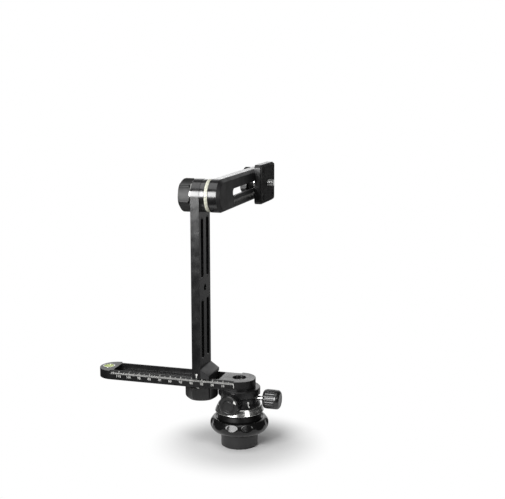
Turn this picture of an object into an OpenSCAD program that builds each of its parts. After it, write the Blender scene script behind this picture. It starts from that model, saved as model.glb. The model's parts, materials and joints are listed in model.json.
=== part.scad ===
// Panoramic tripod head: a click-stop rotator, a slotted lower arm, an upright on a sliding
// carriage, and a tilting camera rail with its camera plate.
// Millimetres. Origin: centre of the tripod thread, on the foot's bottom face. +Z is up,
// +X runs from the lower arm towards the pan lock, +Y runs back along the camera rail.

/* [Foot and grip ring] */
// Radius of the turned foot below the grip ring
foot_r = 16.5; // [15.5:0.5:17]
// Height of the foot below the grip ring
foot_h = 13; // [10:0.5:16]
// Radius of the foot's core, which the grip ring is pressed on
core_r = 12.5; // [11.5:0.5:13.5]
// Radius of the tripod thread, 3/8 inch across
thread_r = 4.76; // [4.7:0.02:4.84]
// Depth of the tripod thread
thread_depth = 12; // [9:0.5:15]
// Largest radius of the grip ring
grip_r = 26.2; // [25:0.2:28]
// Height of the grip ring
grip_h = 11.7; // [11:0.1:14]
// Height of the grip ring's widest line above its bottom
grip_edge_h = 7.3; // [6:0.1:8.5]
// Radius of the crest of the grip ring's lip
lip_r = 22; // [21.2:0.1:23]
// Height of the lip above the base disc's bottom
lip_h = 1.5; // [0.8:0.1:2]
// Number of finger scallops round the grip ring
grip_scallops = 12; // [8:1:14]
// Radius of one finger scallop
scallop_r = 26; // [20:1:32]
// Depth of one finger scallop
scallop_depth = 1.2; // [0.8:0.1:1.6]
// Lean of the finger scallops inwards towards the top
scallop_lean = 18; // [12:1:22]

/* [Base disc and rings] */
// Radius of the base disc at its bottom
disc_r = 19.5; // [18.5:0.1:20.2]
// Radius of the base disc at its top
disc_top_r = 17.2; // [16.5:0.1:18.5]
// Height of the base disc
disc_h = 7.2; // [6:0.2:9]
// Radius of the degree ring at its bottom
ring_r = 21.8; // [21:0.2:22.4]
// Height of the degree ring
ring_h = 5.7; // [5.2:0.1:7.5]
// How much the degree ring draws in towards its top
ring_taper = 2.2; // [1.4:0.1:2.4]
// Outer radius of the hardened detent ring
detent_r = 15.4; // [14.8:0.1:16]
// Inner radius of the hardened detent ring
detent_bore_r = 11.8; // [11.8:0.1:12.4]
// Height of the detent ring
detent_h = 3.5; // [3:0.1:4]
// Number of click stops in a full turn
click_stops = 24; // [12:12:24]
// Depth of one detent notch
notch_depth = 1.1; // [0.9:0.1:1.3]

/* [Rotator] */
// Radius of the rotator housing at its bottom
housing_r = 18.9; // [18.4:0.1:19.6]
// Radius of the rotator housing's waist
waist_r = 16.7; // [16.6:0.1:17.4]
// Radius of the brim at the top of the rotator housing
housing_top_r = 18.8; // [18.2:0.1:18.9]
// Height of the rotator housing
housing_h = 15.8; // [14.2:0.1:18]
// Height of the brim at the top of the rotator housing
brim_h = 6.2; // [5.4:0.1:6.6]
// Radius of the cavity in the housing
cavity_r = 15.2; // [15.1:0.1:15.8]
// Thickness of the housing's roof
roof_t = 6.8; // [6.4:0.1:7.2]
// Radius of the hub that hangs from the roof
hub_r = 9.5; // [9:0.1:10]
// Radius of the steel spindle
spindle_r = 5; // [4.6:0.1:5.2]
// Radius of the spindle's flange
flange_r = 11.6; // [11.5:0.05:11.7]
// Thickness of the spindle's flange
flange_t = 2.7; // [2.2:0.1:3]
// Wall of the bronze bush
bush_wall = 2; // [1.6:0.1:2.2]
// Radius of the pocket over the spindle nut
pocket_r = 8; // [7.8:0.1:8.4]
// Thickness of the cap that closes the pocket and takes the arm bolt
cap_t = 2.3; // [2:0.1:2.5]

/* [Pan lock and selector dial] */
// Distance from the pocket over the spindle down to the pan lock's axis
lock_drop = 2.7; // [2.4:0.1:3.2]
// Height of the selector dial above the housing's bottom
dial_h = 4.9; // [4.7:0.1:6]
// Radius of the pan lock screw
lock_screw_r = 2; // [1.8:0.1:2.2]
// Radius of the pan lock knob
lock_knob_r = 8.6; // [7.5:0.1:10]
// Length of the pan lock knob
lock_knob_l = 15; // [14:0.5:20]
// Distance from the spindle's axis to the pan lock knob
lock_knob_x = 23; // [21:0.5:25]
// Number of flutes round the pan lock knob
lock_flutes = 24; // [18:1:28]
// Radius of the selector dial
dial_r = 9; // [8:0.2:9.6]
// Thickness of the selector dial
dial_t = 3.2; // [2.6:0.1:4.5]
// Angle of the dial from the front, towards the lower arm
dial_angle = 6; // [0:1:12]
// Radius of the raised disc on the dial's face
dial_disc_r = 5.2; // [4.5:0.1:5.8]
// Throw of the cam pin from the dial's axis
cam_throw = 0.6; // [0.5:0.05:0.7]
// Distance from the spindle's axis to the detent plunger
plunger_d = 12.9; // [12.8:0.05:12.95]
// Radius of the detent plunger
plunger_r = 2.1; // [1.9:0.05:2.2]

/* [Lower arm] */
// Width of all three bars
bar_w = 29.4; // [28.4:0.2:31]
// Thickness of the lower arm
arm_t = 8.2; // [7.8:0.1:10]
// Reach of the lower arm from the spindle's axis to its free end
arm_reach = 134.5; // [120:0.5:160]
// Width of the bevels along the bars' edges
bevel = 2.8; // [2:0.1:3]
// Width of the channel in the lower arm
channel_w = 22; // [21:0.1:22.4]
// Depth of the channel in the lower arm
channel_depth = 5; // [4.5:0.1:5.2]
// Distance from the spindle's axis to the near end of the channel
channel_near = 16; // [15:0.5:18]
// Metal left between the free end and the channel
channel_end_wall = 16.5; // [16:0.5:22]
// Width of the slot through the channel's floor
arm_slot_w = 13.6; // [12:0.2:15]
// Ledge left between the slot's ends and the channel's ends
arm_slot_inset = 4.5; // [4:0.5:7]
// Radius of the counterbore over the arm bolt
counterbore_r = 6.2; // [5.8:0.1:7]
// Depth of the counterbore over the arm bolt
counterbore_depth = 5.5; // [5.2:0.1:5.8]
// Radius of the bubble level's cup
bubble_cup_r = 5.6; // [5:0.1:6.4]
// Distance from the free end to the middle of the bubble level
bubble_inset = 7.8; // [7.4:0.1:8.2]

/* [Carriage and upright] */
// Distance from the spindle's axis to the upright's middle, read off the arm's scale
carriage_x = 35.6; // [35.4:0.2:60]
// Thickness of the upright
upright_t = 8; // [7.6:0.1:9]
// Height of the tilt axis above the lower arm
upright_h = 162.4; // [160:0.5:200]
// Length of the carriage's gusset
gusset_l = 7.8; // [6.5:0.1:8]
// Height of the gusset against the upright
gusset_h = 8.3; // [7.5:0.1:9.5]
// Height of the gusset at its outer edge
gusset_lip = 2.9; // [2.4:0.1:4]
// Width of the four slots in the upright
window_w = 6.6; // [6:0.2:7.4]
// Distance between the two rows of slots
window_pitch = 14; // [13.4:0.2:15]
// Height of the lower slots above the lower arm
low_window_z = 16; // [15:0.5:20]
// Length of one slot
window_l = 55; // [48:0.5:58]
// Height of the accessory hole above the lower arm
middle_hole_z = 80.5; // [79.5:0.5:82]
// Radius of the accessory hole
middle_hole_r = 3; // [2.5:0.1:3.4]
// Height of the upper slots above the lower arm
high_window_z = 89; // [88:0.5:92]
// Radius of the carriage stud
stud_r = 2.5; // [2.2:0.1:2.8]
// Height of the carriage clamp knob
clamp_knob_h = 11.6; // [9:0.2:12.4]
// Radius of the clamp knobs
knob_r = 14.8; // [13.8:0.1:15]
// Number of grip scallops round a clamp knob
knob_scallops = 6; // [5:1:8]
// Radius of one grip scallop
knob_scallop_r = 30; // [24:1:36]
// Depth of one grip scallop
knob_scallop_depth = 2.55; // [1.8:0.05:2.6]

/* [Tilt joint] */
// Radius of the tilt hub
tilt_hub_r = 14.5; // [14:0.1:14.7]
// Thickness of the tilt hub
tilt_hub_t = 4.4; // [4:0.1:6]
// Thickness of the tilt degree ring
tilt_ring_t = 2.9; // [2.4:0.1:4]
// Radius of the tilt stud
tilt_stud_r = 4; // [3.6:0.1:4.4]
// Wall of the tilt bush
tilt_bush_wall = 2; // [1.6:0.1:2.4]
// Radius of the steel washer under the tilt knob
tilt_washer_r = 13; // [12.6:0.1:14]
// Thickness of the steel washer under the tilt knob
tilt_washer_t = 1.5; // [1:0.1:2]
// Thickness of the tilt knob
tilt_knob_t = 10.4; // [8.5:0.1:12]

/* [Camera rail and plate] */
// Thickness of the camera rail
rail_t = 10.6; // [8:0.1:12]
// Reach of the camera rail from the tilt axis
rail_reach = 155; // [150:0.5:158]
// Width of the slot in the camera rail
rail_slot_w = 7; // [6.8:0.1:7.6]
// Distance from the tilt axis to the near end of the rail's slot
rail_slot_near = 26; // [24:0.5:34]
// Metal left between the rail's far end and its slot
rail_slot_end_wall = 17; // [16:0.5:20]
// Width of the relief along the rail's back
relief_w = 20; // [18.6:0.2:22]
// Web left under the relief
web_t = 4; // [3.6:0.1:4.6]
// How far the relief runs past the slot at both ends
relief_past = 6; // [5:0.5:8]
// Distance from the tilt axis to the camera screw
camera_y = 117; // [110:0.5:121]
// Length of the camera plate along the rail
plate_l = 48; // [42:0.5:56]
// Width of the camera plate across the rail
plate_w = 38; // [34:0.5:44]
// Thickness of the camera plate
plate_t = 5.85; // [5:0.05:8]
// Thickness of the rubber pad on the camera plate
pad_t = 1.5; // [1:0.1:2.5]
// Radius of the camera screw, 1/4 inch across
camera_screw_r = 3.175; // [3.1:0.025:3.2]
// Length of camera screw that stands out of the pad
screw_reach = 5.5; // [4.5:0.1:6]
// Radius of the camera screw's plain neck, which keeps it captive in the plate
screw_neck_r = 2.7; // [2.4:0.05:2.8]
// Radius of the camera plate's knob
plate_knob_r = 15; // [13:0.1:15.4]
// Thickness of the camera plate's knob
plate_knob_t = 6.2; // [5:0.1:6.3]

/* [Fits] */
// Radial clearance of a running fit
run_gap = 0.03; // [0.02:0.01:0.06]
// Clearance between faces that slide on each other
slide_gap = 0.15; // [0.1:0.01:0.25]
// Clearance between the degree ring and the turning housing
turn_gap = 0.4; // [0.3:0.05:0.8]
// Clearance round a screw that passes through a plain hole
screw_gap = 0.1; // [0.1:0.05:0.25]

/* [Hidden] */
$fn = 96;

// Heights of the stack, from the foot's bottom face
z_disc = foot_h + grip_h;
z_ring = z_disc + disc_h;
z_housing = z_ring + ring_h + turn_gap;
z_arm = z_housing + housing_h;
z_top = z_arm + arm_t;
z_dial = z_housing + dial_h;
z_tilt = z_top + upright_h;
// Levels inside the rotator
z_flange = z_ring + flange_t;
z_roof = z_arm - roof_t;
bush_r = spindle_r + bush_wall;
hub_drop = 0.2;
z_hub = z_housing + hub_drop;
washer_t = 0.8;
nut_h = 2.8;
nut_af_r = 6.6;
spindle_top_r = spindle_r - 1;
pocket_gap = 0.4;
z_pocket = z_arm - cap_t - nut_h - washer_t - 2 * slide_gap - pocket_gap;
z_control = z_pocket - lock_drop;
z_washer = z_pocket + slide_gap;
z_nut = z_washer + washer_t;
z_spindle_top = z_nut + nut_h + slide_gap;
// Small screws
small_screw_r = 1.5;
small_head_r = 2.75;
small_head_h = 2.8;
base_screw_d = spindle_r + small_head_r + screw_gap;
base_screw_bite = 6;
dowel_d = 11.5;
dowel_up = 3.2;
dowel_down = 3.5;
arm_bolt_r = 2.5;
arm_bolt_head_r = 4.6;
arm_bolt_head_h = 3.2;
set_screw_l = 8;
grip_screws = 2;
grip_scallop_from = 1.3;
grip_under_r = foot_r + 1.5;
lip_gap = 0.4;
scallop_z = foot_h + grip_edge_h + 2;
grip_screw_from = grip_scallop_from + 180 / grip_scallops;
set_screw_z = foot_h + grip_edge_h / 2;
// Selector dial and detent plunger, measured outwards from the spindle's axis
dial_gap = 0.2;
dial_d = ring_r + dial_gap;
boss_r = dial_r + 0.2;
boss_d = dial_d - slide_gap * 2;
cam_d = cavity_r + 1;
cam_pin_r = 0.8;
cam_slot_gap = 0.2;
cam_slot_d = plunger_d + 0.1;
tip_r = 0.3;
tip_engage = 0.8;
notch_slope = 1.25;
z_detent = z_ring + detent_h;
z_plunger_tip = z_detent - tip_engage;
plunger_lift = 2 * cam_throw;
guide_gap = 0.05;
plunger_guide_l = 2.4;
z_plunger_top = z_roof + plunger_guide_l;
guide_roof = 1;
z_guide_top = z_arm - guide_roof;
spring_wire_r = 0.25;
spring_turns = 4;
dial_disc_t = 1.2;
dial_disc_proud = 0.5;
// Pan lock
pad_nose = spindle_r + 0.05;
pad_end = hub_r - 1.5;
lock_screw_start = pad_end + 0.05;
lock_screw_end = lock_knob_x + lock_knob_l - 2;
skirt_h = 0.5;
waist_low = 3;
brim_cone_h = 2.4;
brim_low = housing_h - brim_h;
waist_high = brim_low - brim_cone_h;
spot_r = lock_screw_r + 2.6;
spot_depth = 2.4;
lock_flute_r = 0.8;
lock_flute_end = 3.5;
// Lower arm
arm_end_r = bar_w / 2;
arm_far = arm_reach - arm_end_r;
channel_far = arm_reach - channel_end_wall;
channel_mid_l = channel_far - channel_near;
channel_corner = 2.5;
slot_near = channel_near + arm_slot_inset;
slot_far = channel_far - arm_slot_inset;
bevel_near = 1.3;
bubble_x = arm_reach - bubble_inset;
bubble_depth = 4.5;
bubble_wall = 1;
bubble_proud = 0.2;
// Carriage and upright
z_foot = z_top + slide_gap;
x_back = -carriage_x - upright_t / 2;
x_face = -carriage_x + upright_t / 2;
x_gusset = x_face + gusset_l;
tongue_w = channel_w - 2 * slide_gap;
z_tongue = z_top - channel_depth + slide_gap;
stud_bite = 10;
foot_screw_y = 8;
foot_screw_up = 4;
foot_screw_z = z_foot + foot_screw_up;
foot_screw_bite = 4.5;
clamp_washer_r = 11;
clamp_washer_t = 1.15;
z_clamp_washer = z_arm - slide_gap - clamp_washer_t;
z_clamp_knob = z_clamp_washer - slide_gap - clamp_knob_h;
knob_skin = 2;
knob_scallop_from = 20;
clamp_scallop_from = 46;
// Tilt joint
x_hub = x_face + tilt_hub_t;
x_ring = x_hub + tilt_ring_t;
rail_gap = 0.3;
x_rail = x_ring + rail_gap;
x_rail_face = x_rail + rail_t;
tilt_bush_r = tilt_stud_r + tilt_bush_wall;
friction_r = 8.9;
hub_screw_d = 9.4;
hub_screw_bite = 3;
x_tilt_washer = x_back - slide_gap - tilt_washer_t;
x_tilt_knob = x_tilt_washer - slide_gap - tilt_knob_t;
knob_end_skin = 1.2;
knob_round = 3;
stud_flange_r = 7.5;
stud_flange_t = 2;
stud_in_rail = 4.5;
// Camera rail and plate
x_web = x_rail + rail_t - web_t;
rail_far = rail_reach - bar_w / 2;
rail_slot_far = rail_reach - rail_slot_end_wall;
x_plate = x_rail_face + slide_gap;
x_pad = x_plate + plate_t;
x_pad_face = x_pad + pad_t;
key_near = 4.5;
key_far = 11.5;
key_depth = web_t - 0.6;
plate_corner = 4;
plate_screw_y = 17;
plate_screw_z = 12;
plate_washer_r = 8.6;
plate_washer_t = 1;
x_plate_washer = x_web - slide_gap - plate_washer_t;
x_plate_boss = x_plate_washer - slide_gap;
plate_knob_gap = 0.4;
x_plate_knob = x_rail - plate_knob_gap - plate_knob_t;
plate_boss_r = 7.5;

// A round bar along X, from x0 to x1
module rod_x(r, x0, x1, y = 0, z = 0) {
    translate([x0, y, z])
        rotate([0, 90, 0])
            cylinder(r = r, h = x1 - x0);
}

// A flat shape drawn in Y and Z, given its thickness along X from x0 to x1
module slab_x(x0, x1) {
    translate([x0, 0, 0])
        rotate([90, 0, 90])
            linear_extrude(x1 - x0)
                children();
}

// A long shape with round ends, centred on the two points (a, 0) and (b, 0)
module stadium(a, b, r) {
    translate([a, -r])
        square([b - a, 2 * r]);
    translate([a, 0])
        circle(r = r);
    translate([b, 0])
        circle(r = r);
}

// A rectangle with rounded corners, from its lowest to its highest corner
module round_rect(low, high, r) {
    translate([low[0] + r, low[1]])
        square([high[0] - low[0] - 2 * r, high[1] - low[1]]);
    translate([low[0], low[1] + r])
        square([high[0] - low[0], high[1] - low[1] - 2 * r]);
    for (x = [low[0] + r, high[0] - r], y = [low[1] + r, high[1] - r])
        translate([x, y])
            circle(r = r);
}

// Children repeated count times round Z
module ring_of(count, start = 0) {
    for (i = [0 : count - 1])
        rotate([0, 0, start + i * 360 / count])
            children();
}

// Points of a quarter ellipse about (cx, cy), from angle a0 to angle a1
function arc_points(cx, cy, rx, ry, a0, a1, steps) =
    [for (i = [0 : steps]) let (a = a0 + (a1 - a0) * i / steps) [cx + rx * cos(a), cy + ry * sin(a)]];

// The dial's own frame: Z points out of the housing along the dial's axis
module dial_frame() {
    translate([0, 0, z_dial])
        rotate([0, 0, -90 - dial_angle])
            rotate([0, 90, 0])
                children();
}

// The place of the detent plunger, straight behind the dial
module plunger_place() {
    rotate([0, 0, -90 - dial_angle])
        translate([plunger_d, 0, 0])
            children();
}

// A clamp knob standing on Z = 0 with its rounded end down and a blind bore from the top
module clamp_knob(h, bore_r, skin, from) {
    difference() {
        rotate_extrude()
            polygon(concat([[0, 0]],
                arc_points(knob_r - knob_round, knob_round, knob_round, knob_round, -90, 0, 6),
                [[knob_r, h - 0.5], [knob_r - 0.5, h], [0, h]]));
        ring_of(knob_scallops, from)
            translate([knob_r + knob_scallop_r - knob_scallop_depth, 0, -1])
                cylinder(r = knob_scallop_r, h = h + 2);
        translate([0, 0, skin])
            cylinder(r = bore_r, h = h);
    }
}

// A socket head screw along -Z with its shoulder at Z = 0, and a hexagon socket
module cap_screw(r, head_r, head_h, l) {
    difference() {
        union() {
            cylinder(r = head_r, h = head_h);
            translate([0, 0, -l])
                cylinder(r = r, h = l);
        }
        translate([0, 0, head_h * 0.4])
            cylinder(r = r * 0.95, h = head_h, $fn = 6);
    }
}

// ---- Base: what stays still on the tripod

module base_foot() {
    color([0.10, 0.10, 0.11])
        difference() {
            union() {
                cylinder(r1 = foot_r - 0.6, r2 = foot_r, h = 0.6);
                translate([0, 0, 0.6])
                    cylinder(r = foot_r, h = foot_h - 0.6);
                translate([0, 0, foot_h])
                    cylinder(r = core_r, h = grip_h);
            }
            translate([0, 0, -1])
                cylinder(r = thread_r, h = thread_depth + 1);
            ring_of(3)
                translate([base_screw_d, 0, z_disc - base_screw_bite])
                    cylinder(r = small_screw_r, h = base_screw_bite + 1);
        }
}

// Pressed on the foot's core: a scalloped rim whose lip stands up round the base disc
module grip_ring() {
    color([0.08, 0.08, 0.09])
        difference() {
            translate([0, 0, foot_h])
                rotate_extrude()
                    polygon(concat([[core_r, 0]],
                        arc_points(grip_under_r, grip_edge_h, grip_r - grip_under_r, grip_edge_h,
                            -90, 0, 7),
                        arc_points(lip_r, grip_edge_h, grip_r - lip_r, grip_h + lip_h - grip_edge_h,
                            12, 90, 6),
                        [[disc_r + lip_gap, grip_h], [core_r, grip_h]]));
            ring_of(grip_scallops, grip_scallop_from)
                translate([grip_r - scallop_depth, 0, scallop_z])
                    rotate([0, -scallop_lean, 0])
                        translate([scallop_r, 0, -grip_h - lip_h])
                            cylinder(r = scallop_r, h = 2 * (grip_h + lip_h));
            ring_of(grip_screws, grip_screw_from)
                rod_x(small_screw_r, core_r - 1, grip_r + 1, 0, set_screw_z);
        }
}

module grip_set_screws() {
    color([0.35, 0.35, 0.36])
        ring_of(grip_screws, grip_screw_from)
            difference() {
                rod_x(small_screw_r, core_r, core_r + set_screw_l, 0, set_screw_z);
                translate([core_r + set_screw_l - 2, 0, set_screw_z])
                    rotate([0, 90, 0])
                        cylinder(r = small_screw_r * 0.55, h = 3, $fn = 6);
            }
}

module base_disc() {
    color([0.09, 0.09, 0.10])
        difference() {
            translate([0, 0, z_disc])
                rotate_extrude()
                    polygon([[spindle_r, 0], [disc_r - 0.5, 0], [disc_r, 0.5], [disc_r, 1.5],
                        [disc_top_r, disc_h], [spindle_r, disc_h]]);
            ring_of(3)
                translate([base_screw_d, 0, z_disc - 1])
                    cylinder(r = small_screw_r + screw_gap, h = disc_h + 2);
        }
}

// Through the spindle's flange and the disc into the foot's core
module base_screws() {
    color([0.5, 0.5, 0.52])
        ring_of(3)
            translate([base_screw_d, 0, z_flange])
                cap_screw(small_screw_r, small_head_r, small_head_h, flange_t + disc_h + base_screw_bite);
}

module degree_ring() {
    color([0.78, 0.78, 0.76])
        translate([0, 0, z_ring])
            rotate_extrude()
                polygon([[detent_r, 0], [ring_r - 0.3, 0], [ring_r, 0.3],
                    [ring_r - ring_taper, ring_h - 0.4], [ring_r - ring_taper - 0.4, ring_h],
                    [detent_r, ring_h]]);
}

module detent_ring() {
    color([0.55, 0.55, 0.58])
        difference() {
            translate([0, 0, z_ring])
                rotate_extrude()
                    polygon([[detent_bore_r, 0], [detent_r, 0], [detent_r, detent_h],
                        [detent_bore_r, detent_h]]);
            ring_of(click_stops, -90 - dial_angle)
                translate([detent_bore_r - 1, 0, z_detent])
                    rotate([90, 0, 90])
                        linear_extrude(detent_r - detent_bore_r + 2)
                            polygon([[-notch_slope * (notch_depth + 0.5), 0.5], [0, -notch_depth],
                                [notch_slope * (notch_depth + 0.5), 0.5]]);
        }
}

module spindle() {
    color([0.62, 0.62, 0.64])
        difference() {
            union() {
                translate([0, 0, z_ring - disc_h / 2])
                    cylinder(r = spindle_r, h = disc_h / 2 + z_pocket - z_ring);
                translate([0, 0, z_ring])
                    cylinder(r = flange_r, h = flange_t);
                translate([0, 0, z_pocket])
                    cylinder(r = spindle_top_r, h = z_spindle_top - z_pocket);
            }
            ring_of(3)
                translate([base_screw_d, 0, z_ring - 1])
                    cylinder(r = small_screw_r + screw_gap, h = flange_t + 2);
        }
}

module spindle_washer() {
    color([0.72, 0.72, 0.73])
        translate([0, 0, z_washer])
            difference() {
                cylinder(r = nut_af_r, h = washer_t);
                translate([0, 0, -1])
                    cylinder(r = spindle_top_r, h = washer_t + 2);
            }
}

module spindle_nut() {
    color([0.66, 0.66, 0.67])
        translate([0, 0, z_nut])
            difference() {
                cylinder(r = nut_af_r, h = nut_h, $fn = 6);
                translate([0, 0, -1])
                    cylinder(r = spindle_top_r, h = nut_h + 2);
            }
}

// ---- Rotor: what turns with the lower arm

module rotor_housing() {
    color([0.11, 0.11, 0.12])
        difference() {
            union() {
                translate([0, 0, z_housing])
                    rotate_extrude()
                        polygon([[0, 0], [housing_r, 0], [housing_r, skirt_h], [waist_r, waist_low],
                            [waist_r, waist_high], [housing_top_r, brim_low],
                            [housing_top_r, housing_h - 0.5], [housing_top_r - 0.5, housing_h],
                            [0, housing_h]]);
                intersection() {
                    dial_frame()
                        cylinder(r = boss_r, h = boss_d);
                    translate([0, 0, z_housing])
                        cylinder(r = ring_r + dial_r, h = housing_h);
                }
            }
            translate([0, 0, z_housing - 1])
                difference() {
                    cylinder(r = cavity_r, h = z_roof - z_housing + 1);
                    translate([0, 0, 1 + hub_drop])
                        cylinder(r = hub_r, h = housing_h);
                }
            translate([0, 0, z_hub - 1])
                cylinder(r = bush_r, h = housing_h);
            translate([0, 0, z_pocket])
                cylinder(r = pocket_r, h = housing_h);
            dial_frame()
                cylinder(r = lock_screw_r + run_gap, h = boss_d + 1);
            rod_x(lock_screw_r + run_gap, 0, housing_r + 1, 0, z_control);
            rod_x(spot_r, housing_r - spot_depth, housing_r + 1, 0, z_control);
            plunger_place()
                translate([0, 0, z_roof - 1])
                    cylinder(r = plunger_r + guide_gap, h = z_guide_top - z_roof + 1);
            for (side = [-1, 1])
                translate([side * dowel_d, 0, z_arm - dowel_down])
                    cylinder(r = small_screw_r, h = dowel_down + 1);
        }
}

module pan_bush() {
    color([0.70, 0.52, 0.28])
        difference() {
            translate([0, 0, z_hub])
                cylinder(r = bush_r, h = z_pocket - z_hub);
            translate([0, 0, z_hub - 1])
                cylinder(r = spindle_r + run_gap, h = z_pocket - z_hub + 2);
            rod_x(lock_screw_r + run_gap, 0, bush_r + 1, 0, z_control);
        }
}

module pivot_cap() {
    color([0.60, 0.60, 0.62])
        translate([0, 0, z_arm - cap_t])
            difference() {
                cylinder(r = pocket_r, h = cap_t);
                translate([0, 0, -1])
                    cylinder(r = arm_bolt_r, h = cap_t + 2);
            }
}

module arm_dowels() {
    color([0.70, 0.70, 0.72])
        for (side = [-1, 1])
            translate([side * dowel_d, 0, z_arm - dowel_down])
                cylinder(r = small_screw_r, h = dowel_down + dowel_up);
}

module arm_bolt() {
    color([0.75, 0.75, 0.77])
        translate([0, 0, z_top - counterbore_depth])
            cap_screw(arm_bolt_r, arm_bolt_head_r, arm_bolt_head_h, arm_t - counterbore_depth + cap_t);
}

// A wedge that bevels one long edge of the lower arm's top, towards +Y
module arm_bevel_cut() {
    translate([-arm_far, bar_w / 2, z_top])
        rotate([90, 0, 90])
            linear_extrude(arm_far - bevel_near)
                polygon([[-bevel, 0], [0, -bevel], [bevel, 0], [0, bevel]]);
}

module lower_arm() {
    color([0.10, 0.10, 0.11])
        difference() {
            translate([0, 0, z_arm])
                linear_extrude(arm_t)
                    stadium(-arm_far, 0, arm_end_r);
            translate([0, 0, z_top - channel_depth])
                linear_extrude(channel_depth + 1)
                    round_rect([-channel_far, -channel_w / 2], [-channel_near, channel_w / 2],
                        channel_corner);
            translate([0, 0, z_arm - 1])
                linear_extrude(arm_t)
                    stadium(-slot_far + arm_slot_w / 2, -slot_near - arm_slot_w / 2, arm_slot_w / 2);
            arm_bevel_cut();
            mirror([0, 1, 0])
                arm_bevel_cut();
            translate([0, 0, z_top - counterbore_depth])
                cylinder(r = counterbore_r, h = counterbore_depth + 1);
            translate([0, 0, z_arm - 1])
                cylinder(r = arm_bolt_r + screw_gap, h = arm_t);
            translate([-bubble_x, 0, z_top - bubble_depth])
                cylinder(r = bubble_cup_r, h = bubble_depth + 1);
            for (side = [-1, 1])
                translate([side * dowel_d, 0, z_arm - 1])
                    cylinder(r = small_screw_r, h = dowel_up + 1);
        }
}

module bubble_cup() {
    color([0.72, 0.72, 0.70])
        translate([-bubble_x, 0, z_top - bubble_depth])
            difference() {
                cylinder(r = bubble_cup_r, h = bubble_depth + bubble_proud);
                translate([0, 0, bubble_wall])
                    cylinder(r = bubble_cup_r - bubble_wall, h = bubble_depth);
            }
}

module bubble_vial() {
    color([0.72, 0.80, 0.20])
        translate([-bubble_x, 0, z_top - bubble_depth + bubble_wall])
            cylinder(r = bubble_cup_r - bubble_wall, h = bubble_depth - bubble_wall);
}

// ---- Selector dial and the detent it lifts

module selector_shaft() {
    color([0.66, 0.66, 0.68])
        dial_frame() {
            translate([0, 0, cam_d])
                cylinder(r = lock_screw_r, h = dial_d - cam_d + dial_t / 2);
            translate([cam_throw, 0, plunger_d + cam_pin_r])
                cylinder(r = cam_pin_r, h = cam_d - plunger_d - cam_pin_r);
        }
}

module selector_dial() {
    color([0.12, 0.12, 0.13])
        dial_frame()
            translate([0, 0, dial_d])
                difference() {
                    union() {
                        cylinder(r = dial_r, h = dial_t - 0.8);
                        translate([0, 0, dial_t - 0.8])
                            cylinder(r1 = dial_r, r2 = dial_r - 0.8, h = 0.8);
                    }
                    translate([0, 0, -1])
                        cylinder(r = lock_screw_r, h = 1 + dial_t / 2);
                    translate([0, 0, dial_t - dial_disc_t + dial_disc_proud])
                        cylinder(r = dial_disc_r, h = dial_disc_t);
                    ring_of(20)
                        translate([dial_r + 0.25, 0, -1])
                            cylinder(r = 0.75, h = dial_t - 0.4);
                }
}

module dial_disc() {
    color([0.16, 0.16, 0.17])
        dial_frame()
            translate([0, 0, dial_d + dial_t - dial_disc_t + dial_disc_proud]) {
                cylinder(r = dial_disc_r, h = dial_disc_t - 0.4);
                translate([0, 0, dial_disc_t - 0.4])
                    cylinder(r1 = dial_disc_r, r2 = dial_disc_r - 0.4, h = 0.4);
            }
}

// Sits in a notch of the detent ring; the cam pin in its side slot lifts it clear
module detent_plunger() {
    color([0.68, 0.68, 0.70])
        difference() {
            plunger_place() {
                translate([0, 0, z_plunger_tip])
                    cylinder(r1 = tip_r, r2 = plunger_r, h = plunger_r - tip_r);
                translate([0, 0, z_plunger_tip + plunger_r - tip_r])
                    cylinder(r = plunger_r, h = z_plunger_top - z_plunger_tip - plunger_r + tip_r);
            }
            plunger_place()
                translate([cam_slot_d - plunger_d, -2 * plunger_r,
                        z_dial - cam_throw - cam_pin_r - cam_slot_gap])
                    cube([2 * plunger_r, 4 * plunger_r, 2 * (cam_pin_r + cam_slot_gap)]);
        }
}

// One unbroken tube of wire wound on a helix
module coil_spring(r, wire_r, turns, h) {
    steps = 14;
    sides = 6;
    rings = turns * steps;
    points = [for (i = [0 : rings], j = [0 : sides - 1])
        let (a = i * 360 / steps, b = j * 360 / sides)
        [(r + wire_r * cos(b)) * cos(a), (r + wire_r * cos(b)) * sin(a),
            wire_r + (h - 2 * wire_r) * i / rings + wire_r * sin(b)]];
    skin = [for (i = [0 : rings - 1], j = [0 : sides - 1])
        let (p = i * sides + j, q = i * sides + (j + 1) % sides)
        each [[p, p + sides, q], [q, p + sides, q + sides]]];
    ends = [for (j = [1 : sides - 2])
        each [[0, j, j + 1], [rings * sides, rings * sides + j + 1, rings * sides + j]]];
    polyhedron(points = points, faces = concat(skin, ends));
}

module detent_spring() {
    color([0.75, 0.75, 0.76])
        plunger_place()
            translate([0, 0, z_plunger_top])
                coil_spring(plunger_r - 2 * spring_wire_r, spring_wire_r, spring_turns,
                    z_guide_top - z_plunger_top);
}

// ---- Pan lock

module brake_pad() {
    color([0.72, 0.58, 0.30])
        difference() {
            rod_x(lock_screw_r, spindle_r - 1, pad_end, 0, z_control);
            translate([0, 0, z_control - 2 * lock_screw_r])
                cylinder(r = pad_nose, h = 4 * lock_screw_r);
        }
}

module pan_lock_screw() {
    color([0.80, 0.80, 0.81])
        rod_x(lock_screw_r, lock_screw_start, lock_screw_end, 0, z_control);
}

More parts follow.
